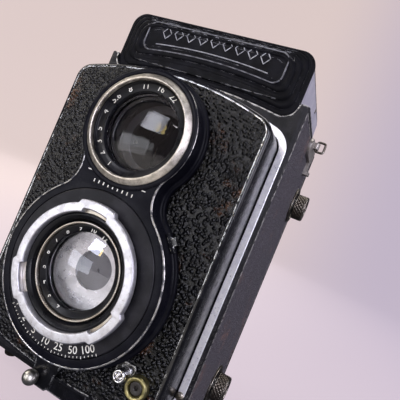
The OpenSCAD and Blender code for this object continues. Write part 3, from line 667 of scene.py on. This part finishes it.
FLANGE_SCREW_DROP, FINDER_SCREW_UP = 25, 80
for side in (-1, 1):
    place = (side * (BOARD_HALF + 1.3), FRONT - 0.6, TAKE.z - FLANGE_SCREW_DROP)
    slotted_screw(1.4, 0.6, place, (0, -1, 0), 0.6, "warm_ring", "body",
                                f"flange_screw_{side + 1}")
    place = (side * cad("finder_housing")[1].x, -0.3, TAKE.z + FINDER_SCREW_UP)
    slotted_screw(0.9, 0.28, place, (side, 0, 0), 0.4, "brown_nickel", "body",
                                f"finder_screw_{side + 1}")
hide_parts("case_screws")

# Nameplate: four rounded steps, a flat panel, a raised bar round it and a thin ornament
STEP_WIDE, STEP_DEEP = 1.75, 0.34
steps = [(0.0, PLATE_HIGH.y - 1.8), (0.0, FRONT + 1.0)]
for k in range(4):
    inset, depth = STEP_WIDE * k, FRONT + 1.0 - STEP_DEEP * k
    steps += [(inset + 0.1, depth - 0.28), (inset + 0.45, depth - 0.42)]
    steps += [(inset + 1.15, depth - 0.42), (inset + 1.5, depth - 0.2)]
steps += [(7.2, FRONT), (8.0, FRONT), (8.0, PLATE_HIGH.y - 1.8)]
rings = [at_depth(plate_outline(i), y) for i, y in rounded(steps, 0.2, 3)]
panel = [block((2 * PLATE_HIGH.x - 13.6, 1.6, 15.4), (0, FRONT + 0.82, TAKE.z + 76.5))]
ears = [block((2, 2.4, 1.4), (s * 29.3, FRONT + 3, PLATE_HIGH.z - 0.7), edge=0.2) for s in (-1, 1)]
joined("nameplate_steps", [skin(rings)] + panel + ears, "plate", "body", ("nameplate",))


def bowed_frame(inset):
    """The raised bar's path round the panel, its lower side bowed like the nameplate's."""
    w, r = PLATE_HIGH.x - 7.6 - inset, 3.0
    up, low = PLATE_HIGH.z - 2.0 - inset, TAKE.z + 71.6 + inset
    drop = PLATE_BOW - math.sqrt(PLATE_BOW**2 - (w - 3) ** 2)
    points = arc(w - r, low - drop + 2.6 + r, r, -90, 0, 8) + arc(w - r, up - r, r, 0, 90, 8)
    points += arc(-w + r, up - r, r, 90, 180, 8) + arc(-w + r, low - drop + 2.6 + r, r, 180, 270, 8)
    for k in range(1, 24):
        across = (w - r) * (1 - k / 12)
        sag = PLATE_BOW - math.sqrt(PLATE_BOW**2 - across**2)
        points.append((-across, low + 2.6 - sag))
    return points


face_y = FRONT - 0.02
frame_path = [(x, face_y - 0.1, z) for x, z in bowed_frame(0.5)]
tube("nameplate_frame", frame_path, 0.3, "plate_edge", "body")
mid_z = TAKE.z + 75.6
LOZENGE_PITCH, LOZENGES, LOZENGE_UP = 4.6, 9, 4.4


def bowed(x):
    """How far the ornament's bowed lines stand above their ends at x."""
    return 1.4 * (1 - (x / 22) ** 2)


line = [(x, face_y - 0.02, mid_z + bowed(x)) for x in range(-21, 22, 2)]
tube("nameplate_line_low", line, 0.2, "plate_line", "body", closed=False)
for k in range(LOZENGES):
    x = LOZENGE_PITCH * (k - LOZENGES // 2)
    z = mid_z + LOZENGE_UP + bowed(x)
    quarters = [t * math.pi / 2 for t in range(4)]
    ends = [Vector((x + 1.7 * math.cos(t), face_y - 0.02, z + 2.1 * math.sin(t))) for t in quarters]
    path = [tuple(ends[i].lerp(ends[(i + 1) % 4], u / 5)) for i in range(4) for u in range(5)]
    tube(f"nameplate_lozenge_{k}", path, 0.17, "plate_line", "body", seg=6)

# ---- lens board
roll = [(1.5, 0.55), (1.3, 0.0), (1.1, -0.02), (0.8, 0.0), (0.48, 0.12), (0.2, 0.38), (0.05, 0.75),
        (0.0, 1.2)]
wall = [(0.0, (BOARD_BACK - BOARD_Y) * 0.45), (0.0, BOARD_BACK - BOARD_Y), (1.2, BOARD_BACK - BOARD_Y),
        (1.2, 2.2)]
floor = [(2.0, 1.7), (4.5, 1.7), (4.5, 0.55)]
tray = [at_depth(board_outline(i), BOARD_Y + y) for i, y in roll + wall + floor]
joined("board_tray", [skin(tray)], "rim", "lens_board", ("board_shell",))
back_plate = [board_outline(2.2), circle(0, TAKE.z, 21.4), circle(0, VIEW.z, 14.3)]
plate("board_back_plate", back_plate, BOARD_Y + 0.55, BOARD_Y + 1.7, 0.1, "matt_black", "lens_board")

foot = [(1.2, 0.0), (1.2, -1.1), (1.05, -1.4), (0.75, -1.5), (0.35, -1.55), (0.05, -1.75), (-0.1, -2.1),
        (-0.1, -6.1), (-0.22, -6.6), (-0.55, -6.85), (-1.0, -6.9), (-1.38, -6.9), (-1.38, 0.0)]
eight = skin([at_depth(eight_outline(g), BOARD_Y + y) for g, y in rounded(foot, 0.08, 2)])
openings = [circle(0, TAKE.z, 23.0), circle(0, VIEW.z, 16.02)]
plate("bezel_face", [eight_outline(-0.8)] + openings, BOARD_Y - 6.92, BOARD_Y - 5.8, 0.02, "bezel",
      "lens_board")
joined("bezel_edge", [eight], "bezel", "lens_board", ("bezel_plate",))
# The bezel's rounded front rim gets a grey line of painted highlight.
fine = [(-0.04, -6.7), (-0.16, -6.93), (-0.36, -6.98), (-0.5, -6.9)]
skin_line = skin([at_depth(eight_outline(g), BOARD_Y + y) for g, y in fine])
joined("bezel_rim_line", [skin_line], "rim_highlight_and_wear", "lens_board")

# y is the board's front plane; what stands in front of it has a smaller y
taking, viewing = (TAKE.x, TAKE.z), (VIEW.x, VIEW.z)
y = BOARD_Y
profile = [(15.95, -6.88), (15.95, -7.3), (16.25, -7.48), (16.9, -7.42), (17.36, -7.15), (17.36, -6.88)]
ring_piece("viewing_bezel", profile, viewing, "bezel", ("viewing_barrel",))
profile = [(14.4, -6.88), (15.96, -6.88), (15.96, 0.4), (14.4, 0.4)]
ring_piece("viewing_tube", profile, viewing, "barrel", (), 0.1)
profile = [(13.92, -6.9), (13.92, -8.1), (14.2, -8.4), (14.5, -8.3), (15.9, -7.2), (15.9, -6.9)]
ring_piece("viewing_ring_warm", profile, viewing, "view_ring", ("viewing_ring",), 0.2)
profile = [(11.15, 11), (11.15, -4.9), (11.5, -5.5), (12.3, -5.7), (13.4, -6.1), (13.9, -6.7),
           (14.35, -6.4), (14.35, 11)]
ring_piece("viewing_inner_ring", profile, viewing, "barrel")


def lens_element(name, r, rim_y, rise, thick, hollow, centre, replaced=(), look="lens"):
    """A lens element with a domed front and a shallow hollow back."""
    big = (r * r + rise * rise) / (2 * rise)
    front = []
    for k in range(15):
        out = r * k / 14
        front.append((max(out, NEAR_AXIS), rim_y + (big - rise) - math.sqrt(big * big - out**2)))
    rear = []
    for k in range(8, -1, -1):
        rear.append((max(r * k / 8, NEAR_AXIS), rim_y + thick - hollow * (1 - (k / 8) ** 2)))
    return piece(name, disc_rings(front + rear, centre, "Y", 96), look, "lens_board", replaced)


lens_element("viewing_front_lens", 11.08, y - 4.3, 1.9, 2.4, 1.7, viewing, ("viewing_glass",))
lens_element("taking_front_lens", 10.68, y - 4.9, 2.3, 2.4, 1.0, taking, ("taking_glass",), "front_lens")
lens_element("taking_rear_lens", 8.6, y + 4.4, 1.2, 2.0, 0.6, taking)
profile = [(10.2, 1.6), (10.2, -0.4), (11.14, -0.9), (11.14, 1.6)]
ring_piece("viewing_retaining_ring", profile, viewing, "barrel", (), 0.1)
profile = [(8.8, 6.4), (8.8, 5.8), (11.14, 5.4), (11.14, 6.4)]
ring_piece("viewing_stop", profile, viewing, "matt_black", (), 0.1)

# Taking lens and shutter
profile = [(11.25, 7.5), (11.25, 0.5), (16.25, -1.6), (16.25, -6.05), (22.88, -6.05), (22.88, 0.4),
           (21.3, 0.6), (21.3, 7.5), (12.4, 7.6), (12.4, 12), (11.0, 12), (11.0, 7.6)]
ring_piece("shutter_body", profile, taking, "matt_black", ("shutter_housing",), 0.1)
profile = [(15.9, -6.1), (15.9, -6.9), (16.1, -7.08), (17.7, -7.08), (17.88, -6.9), (17.88, -6.1)]
ring_piece("shutter_face_ring", profile, taking, "barrel", ("shutter_face",), 0.1)
profile = [(18.04, -6.22), (18.04, -6.95), (18.3, -7.06), (22.5, -7.1), (22.76, -6.95), (22.76, -6.22)]
ring_piece("speed_dial", profile, taking, "shutter_grey", ("speed_ring",), 0.08, body="speed")

# Bayonet: rises and depths in mm, halves and flanks in degrees
LOBES_AT = (90, 210, 330)
LOBE_RISE, LOBE_HALF, LOBE_FLANK = 0.95, 19.0, 2.6
SLOT_DEEP, SLOT_HALF, SLOT_FLANK = 1.0, 15.0, 1.6


def bayonet_ripple(angle, r, along):
    """Three lobes outside and three slots inside the bayonet ring."""
    out = 0.0
    for middle_at in LOBES_AT:
        away = abs((math.degrees(angle) - middle_at + 180) % 360 - 180)
        if r > 17.5:
            out += LOBE_RISE * min(1.0, max(0.0, (LOBE_HALF - away) / LOBE_FLANK))
        elif r < 16.6:
            out += SLOT_DEEP * min(1.0, max(0.0, (SLOT_HALF - away) / SLOT_FLANK))
    return out


profile = [(15.85, -8.4), (15.85, -9.9), (16.1, -10.2), (18.25, -10.2), (18.5, -9.9), (18.5, -8.2),
           (17.6, -7.9)]
ring_piece("bayonet_mount", profile, taking, "white_ring", ("bayonet_ring",), seg=432,
           ripple=bayonet_ripple)
profile = [(15.88, -7.1), (15.88, -8.45), (17.55, -8.45), (17.55, -7.1)]
ring_piece("bayonet_neck", profile, taking, "warm_ring", (), 0.1)
profile = [(13.6, -2), (13.6, -6.6), (14.3, -8.2), (15.2, -8.8), (15.8, -8.6), (15.8, 0.4), (13.7, 0.4)]
ring_piece("taking_barrel", profile, taking, "barrel", ("taking_cell",))


def knurl(count, depth):
    """Fine ribs all round a ring."""
    return lambda angle, r, along: depth * (math.cos(angle * count) ** 2 - 0.5)


profile = [(12.75, -2.2), (12.75, -7.2), (13.0, -7.6), (13.35, -7.6), (13.5, -7.2), (13.5, -2.2)]
ring_piece("taking_knurled_ring", profile, taking, "warm_ring", (), 0.1, seg=480, ripple=knurl(60, 0.14))
profile = [(10.72, -2), (10.72, -5.5), (11.0, -5.9), (12.4, -6.6), (12.72, -6.6), (12.72, -2)]
ring_piece("taking_scale_ring", profile, taking, "barrel", (), 0.12)
LEAVES, LEAF_R, LEAF_STEP = 5, 11.0, 0.09
blades = []
for k in range(LEAVES):
    swing = 2 * math.pi * k / LEAVES
    sweep = [swing + math.radians(a) for a in range(0, 96, 8)]
    outline = [(LEAF_R * math.cos(t), LEAF_R * math.sin(t)) for t in sweep]
    outline.append((2.4 * math.cos(swing + 1.9), 2.4 * math.sin(swing + 1.9)))
    outline.append((0.4 * math.cos(swing), 0.4 * math.sin(swing)))
    made = bmesh.new()
    corners = []
    for u, v in outline:
        depth = y + 2.3 + LEAF_STEP * k + 0.02 * (abs(u) + abs(v)) / 10
        corners.append(made.verts.new((u, depth, TAKE.z + v)))
    made.faces.new(corners)
    blade = bpy.data.meshes.new("blade")
    made.to_mesh(blade)
    made.free()
    blades.append(blade)
joined("shutter_leaves", blades, "leaf", "lens_board")

# Figures and marks, all generic: apertures and distances round the lenses, speeds on the speed ring
marks = figures_round(["4", "5.6", "8", "11", "16", "22"], 2.5, VIEW, y - 6.0, 12.7, 172, 62)
marks += figures_round(["1", "2", "3", "5"], 2.5, VIEW, y - 6.0, 12.7, 248, 196)
joined("viewing_figures", marks, "paint", "lens_board")
distances = ["2", "3", "4", "5", "6", "7", "8", "9", "10", "12"]
marks = figures_round(distances, 2.1, TAKE, y - 6.3, 11.65, 262, 72)
joined("taking_figures", marks, "paint", "lens_board")
marks = scale_marks(TAKE, y - 7.1, 22.05, 228, 312, 29, 4, 0.4, 0.2)
marks += figures_round(["1", "2", "5", "10", "25", "50", "100"], 2.9, TAKE, y - 7.09, 20.6, 230, 306, 1)
joined("speed_marks", marks, "paint", "speed")
waist = TAKE.z + 0.64 * GAP
marks = [block((7.0, 0.05, 0.28), (s * 6.2, y - 6.93, waist)) for s in (-1, 1)]
marks += [block((0.9, 0.05, 0.9), (0, y - 6.93, waist), math.pi / 4)]
marks += [block((0.32, 0.05, 0.9), (x * 1.6, y - 6.93, waist - 2.4), 0.0) for x in range(-4, 5)]
joined("waist_marks", marks, "paint", "lens_board")

# Sockets
cable = front_centre("cable_socket")
profile = [(1.0, -0.6), (1.0, -3.3), (1.25, -3.6), (1.6, -3.6), (1.9, -3.3), (1.9, -1.9), (1.9, 0.4),
           (0.05, 0.4), (0.05, -0.6)]
ring_piece("cable_tube", profile, cable, "bright", ("cable_socket",), 0.12, seg=64)
flash = front_centre("sync_collar")
profile = [(1.95, 0.4), (1.95, -1.9), (2.2, -2.3), (2.9, -2.4), (3.28, -2.0), (3.28, 0.4)]
ring_piece("flash_collar", profile, flash, "olive_brass", ("sync_collar",), 0.2, seg=72)
profile = [(0.5, -0.6), (0.5, -1.5), (0.75, -1.7), (1.6, -1.75), (1.88, -1.5), (1.88, 0.3), (0.05, 0.3),
           (0.05, -0.6)]
ring_piece("flash_insulator", profile, flash, "bakelite", ("sync_insulator",), 0.1, seg=56)
foot_plate = [(cable[0] - 2.8, cable[1] - 1.4), (cable[0] - 2.6, cable[1] + 3.2),
              (cable[0] + 3.0, cable[1] + 3.2), (cable[0] + 2.6, cable[1] - 1.6),
              (cable[0], cable[1] - 2.9)]
plate("cable_foot_plate", [rounded(foot_plate, 1.2), circle(*cable, 1.92, 40)], y - 0.55, y - 0.02, 0.12,
      "rim", "lens_board")

# Shutter lever with its stud; the arm's arc lies round the taking lens
arm_y0, arm_y1 = cad("shutter_lever")[0].y, cad("shutter_lever")[1].y
stud = middle("lever_stud")
sweep = arc(0, TAKE.z, 25.9, 244, 296, 16)
arm = sweep + arc(0, TAKE.z, 27.1, 296, 280, 4)
arm += [(3.7, TAKE.z - 30), (3.4, TAKE.z - 34.2), (2.2, TAKE.z - 35.3), (-2.2, TAKE.z - 35.3),
        (-3.5, TAKE.z - 34.2), (-3.7, TAKE.z - 30)]
arm += arc(0, TAKE.z, 27.1, 260, 244, 4)
plate("cocking_arm", [arm, circle(stud.x, stud.z, 1.45, 32)], arm_y0, arm_y1, 0.2, "rim", "cocking_lever",
      ("shutter_lever",))
ball_y = arm_y0 - 1.7
BALL_R = 2.2
ball = []
for k in range(18):
    turned_by = math.pi * k / 20
    ball.append((max(BALL_R * math.sin(turned_by), NEAR_AXIS), ball_y - BALL_R * math.cos(turned_by)))
piece("cocking_ball", disc_rings(ball + [(1.5, arm_y1), (NEAR_AXIS, arm_y1)], (stud.x, stud.z), "Y", 56),
      "pewter", "cocking_lever", ("lever_stud",))

# ---- knobs
KNURLS_PER_MM, KNURL_DEEP = 4.2, 0.2


def diamond(count, pitch, depth, x0, x1):
    """Crossed knurling between x0 and x1 on the rim of a knob that turns about X."""

    def ripple(angle, r, along):
        if not x0 < along < x1:
            return 0.0
        t = (along - x0) / pitch * 2 * math.pi
        return depth * (abs(math.sin((count * angle + t) / 2)) + abs(math.sin((count * angle - t) / 2)) - 1.3)

    return ripple


def straight_lines(count, depth, x0, x1):
    """Straight knurling between x0 and x1."""

    def ripple(angle, r, along):
        return depth * (abs(math.sin(count * angle / 2)) - 0.8) if x0 < along < x1 else 0.0

    return ripple


def knob(name, node, look, body, out, straight=False):
    """A knurled knob in the place of its CAD node; out is +1 on the body's right side, -1 on its left."""
    low, high = cad(node)
    r = (high.z - low.z) / 2
    tip = high.x if out > 0 else low.x
    stand_off = 2.6 if node == "focus_knob" else 1.1
    base = HALF * out + out * stand_off
    length = abs(tip - base)

    def x(share):
        return base + out * share * length

    rim0, rim1 = 0.08, 0.9
    profile = [(0.05, x(0)), (r - 0.6, x(0)), (r - 0.15, x(0.04)), (r - 0.05, x(rim0))]
    steps = 22
    profile += [(r - 0.18, x(rim0 + (rim1 - rim0) * k / steps)) for k in range(steps + 1)]
    profile += [(r - 0.1, x(0.93)), (r - 0.5, x(1.0)), (r * 0.74, x(1.0)), (r * 0.7, x(0.93))]
    profile += [(0.3 * r, x(0.93)), (0.26 * r, x(0.97)), (0.05, x(0.97))]
    a, b = sorted((x(rim0), x(rim1)))
    count = int(r * KNURLS_PER_MM)
    if straight:
        ripple = straight_lines(count, 0.16, a, b)
    else:
        ripple = diamond(count, 2 * math.pi * r / count, KNURL_DEEP, a, b)
    mesh = disc_rings(profile, side_centre(node), "X", count * 8, ripple)
    return piece(name, mesh, look, body, (node,))


knob("upper_spool_pull", "upper_spool_knob", "brown_nickel", "upper_pull", 1)
knob("lower_spool_pull", "lower_spool_knob", "brown_nickel", "lower_pull", 1)
knob("winding_wheel", "winding_knob", "brown_nickel", "winding", -1)
knob("focusing_wheel", "focus_knob", "warm_ring", "focusing", -1, straight=True)
for level in ("upper", "lower"):
    node = f"{level}_spool_knob"
    low = cad(node)[0]
    pin = [(0.05, low.x), (2.6, low.x), (3.0, low.x + 0.5), (3.0, HALF + 1.2), (0.05, HALF + 1.2)]
    piece(f"{level}_pull_pin", disc_rings(pin, side_centre(node), "X", 40), "steel", f"{level}_pull")
skirt = [(0.05, -HALF - 2.7), (10.2, -HALF - 2.7), (10.2, -HALF - 1.5), (9.8, -HALF - 1.2),
         (0.05, -HALF - 1.2)]
piece("focusing_skirt", disc_rings(skirt, side_centre("focus_knob"), "X", 96), "warm_ring", "focusing")

dial = side_centre("counter_dial")
rim = [(0.05, -HALF - 1.2), (4.1, -HALF - 1.2), (4.38, -HALF - 0.95), (4.38, -HALF - 0.3),
       (0.7, -HALF - 0.3), (0.7, -HALF + 2.5), (0.05, -HALF + 2.5)]
piece("counter_disc", disc_rings(rim, dial, "X", 72), "warm_ring", "counter", ("counter_dial",))
digits = []
for k in range(12):
    angle = 2 * math.pi * k / 12
    place = (-HALF - 1.21, dial[0] + 3.1 * math.cos(angle), dial[1] + 3.1 * math.sin(angle))
    digits.append(figure(str(k + 1), 1.25, place, FACE_LEFT, -angle - math.pi / 2, 0.01))
joined("counter_figures", digits, "matt_black", "counter")
focus = middle("focus_knob")
digits = []
for k, text in enumerate(("1", "1.5", "2", "3", "5", "10", "20")):
    angle = math.radians(40 + 100 * k / 6)
    place = (-HALF - 0.81, focus.y + 12.1 * math.cos(angle), focus.z + 12.1 * math.sin(angle))
    digits.append(figure(text, 1.5, place, FACE_LEFT, -angle - math.pi / 2 + math.pi, 0.01))
joined("focus_figures", digits, "matt_black", "body")

# ---- strap loops, feet


def strap_loop(name, node, body, side):
    """A rectangular wire loop in the place of its CAD node."""
    low, high = cad(node)
    x0, x1 = (low.x, high.x) if side > 0 else (-high.x, -low.x)
    y_mid = (low.y + high.y) / 2
    r = 0.45
    corners = [(x0 + r + 0.35, high.z - r), (x1 - r, high.z - r), (x1 - r, low.z + r),
               (x0 + r + 0.35, low.z + r)]
    path = []
    soft = rounded(corners, 0.9, 5)
    for i, p in enumerate(soft):
        q = soft[(i + 1) % len(soft)]
        path += [(side * (p[0] + (q[0] - p[0]) * t), y_mid, p[1] + (q[1] - p[1]) * t) for t in (0, 0.5)]
    return tube(name, path, r, "brown_nickel", body, (node,), seg=12)


strap_loop("strap_wire_right", "right_strap_loop", "right_loop", 1)
strap_loop("strap_wire_left", "left_strap_loop", "left_loop", -1)

low, high = cad("door_feet")
feet = []
for fx in (low.x + 2.4, high.x - 2.4):
    for fy in (low.y + 2.4, high.y - 2.4):
        foot_profile = [(NEAR_AXIS, 0), (1.5, 0), (2.1, 0.25), (2.4, 0.9), (2.4, high.z),
                        (NEAR_AXIS, high.z)]
        feet.append(disc_rings(foot_profile, (fx, fy), "Z", 40))
joined("base_feet", feet, "brown_nickel", "door", ("door_feet",))

# ---- stage, lights, camera


def bowl(radius, height, bend):
    """A sweep all round: floor, a wide curve and a wall, so that every view has the same plain ground."""
    seg = 96
    profile = [(0.001, 0.0), (radius - bend, 0.0)]
    for t in range(1, 13):
        angle = t * math.pi / 24
        profile.append((radius - bend + bend * math.sin(angle), bend - bend * math.cos(angle)))
    profile.append((radius, height))
    made = bmesh.new()
    rows = []
    for r, z in profile:
        turns = [math.tau * i / seg for i in range(seg)]
        rows.append([made.verts.new((r * math.cos(t), r * math.sin(t), z)) for t in turns])
    for a, b in zip(rows, rows[1:]):
        for i in range(seg):
            j = (i + 1) % seg
            made.faces.new((a[i], a[j], b[j], b[i]))
    mesh = bpy.data.meshes.new("sweep")
    made.to_mesh(mesh)
    made.free()
    for face in mesh.polygons:
        face.use_smooth = True
    obj = bpy.data.objects.new("sweep", mesh)
    bpy.context.scene.collection.objects.link(obj)
    return obj


def paper():
    """Pale paper that glows a little of itself, a painted glow; the glow runs from warm at the left to cool
    at the right and the base colour darkens to the right, painted light and painted shade.
    """
    s = Shader("paper_painted_glow_and_shade")
    apart = s.add("ShaderNodeSeparateXYZ")
    s.join(s.place, apart.inputs[0])
    # Painted light and shade: the glow goes from warm to cool across X, and the lit base colour darkens
    # towards the right.
    across = s.scale(apart.outputs["X"], -0.5, 0.35)
    s.join(s.mix(across, (0.84, 0.69, 0.66), (0.66, 0.57, 0.7)), s.surface.inputs["Emission Color"])
    base = s.mix(across, (0.34, 0.29, 0.28), (0.07, 0.06, 0.075))
    return s.finish(base, 0.9, 0.0, s.bump(s.noise(1.5, 4), 0.03), Emission_Strength=0.78)


ground = bowl(2.2, 2.4, 0.9)
ground.data.materials.append(paper())
ground.visible_glossy = False
ground.visible_diffuse = False


def softbox(name, place, size, power, colour, target=(0, 0, 0.07)):
    """A rectangular light at place that faces target; metres and watts."""
    light = bpy.data.lights.new(name, "AREA")
    light.shape = "RECTANGLE"
    light.size, light.size_y = size
    light.energy = power
    light.color = colour
    obj = bpy.data.objects.new(name, light)
    bpy.context.scene.collection.objects.link(obj)
    obj.location = place
    obj.rotation_euler = (Vector(target) - Vector(place)).to_track_quat("-Z", "Y").to_euler()
    return obj


softbox("window_front", (-0.4, -0.98, 0.45), (0.36, 0.32), 3.8, (0.9, 0.9, 1.0), (0, 0, 0.08))
softbox("window_left", (-1.0, -0.35, 0.7), (0.4, 0.7), 4.0, (1.0, 0.93, 0.84))
softbox("window_right", (0.62, -0.92, 0.4), (0.35, 0.6), 9.0, (0.86, 0.85, 1.0))
softbox("overhead", (0.15, 0.15, 1.2), (0.7, 0.7), 6.0, (1.0, 0.98, 0.97))
softbox("warm_lamp", (-0.2, -1.0, 0.37), (0.05, 0.16), 0.35, (1.0, 0.78, 0.3), (0, 0, 0.06))
softbox("back_fill", (-0.5, 1.1, 0.55), (0.6, 0.6), 3.5, (0.95, 0.93, 1.0))
softbox("side_fill", (1.1, 0.15, 0.45), (0.4, 0.6), 5.0, (0.9, 0.86, 1.0))
softbox("table_glow", (-0.46, -0.76, -0.02), (0.56, 0.26), 1.5, (0.93, 0.94, 1.0), (0, 0, 0.05))
card = softbox("table_card", (-0.2, -0.3, 0.003), (0.6, 0.4), 0.8, (1.0, 0.94, 0.88), (-0.2, -0.3, 1.0))
card.visible_diffuse = False

ROOM_LIGHT = 0.07
world = bpy.data.worlds.new("room")
bpy.context.scene.world = world
world.use_nodes = True
room = world.node_tree.nodes["Background"].inputs
room["Color"].default_value = (0.84, 0.84, 1.0, 1)
room["Strength"].default_value = ROOM_LIGHT

# The camera stands close, to the lower right of the lenses, and is rolled
EYE_AT = Vector((56.97, -147.28, 77.71))
EYE_AHEAD = Vector((-0.33491, 0.94201, 0.02103))
EYE_UP = Vector((-0.35832, -0.14797, 0.92180))
FOCAL_LENGTH = 34.485
camera = bpy.data.cameras.new("camera")
camera.sensor_width = 36
camera.lens = FOCAL_LENGTH
camera.clip_start = 0.01
eye = bpy.data.objects.new("camera", camera)
bpy.context.scene.collection.objects.link(eye)
ahead = EYE_AHEAD.normalized()
right = ahead.cross(EYE_UP).normalized()
turned = Matrix((right, right.cross(ahead), -ahead)).transposed().to_4x4()
eye.matrix_world = Matrix.Translation(EYE_AT * MM) @ turned
bpy.context.scene.camera = eye
bpy.context.scene.view_settings.view_transform = "Standard"
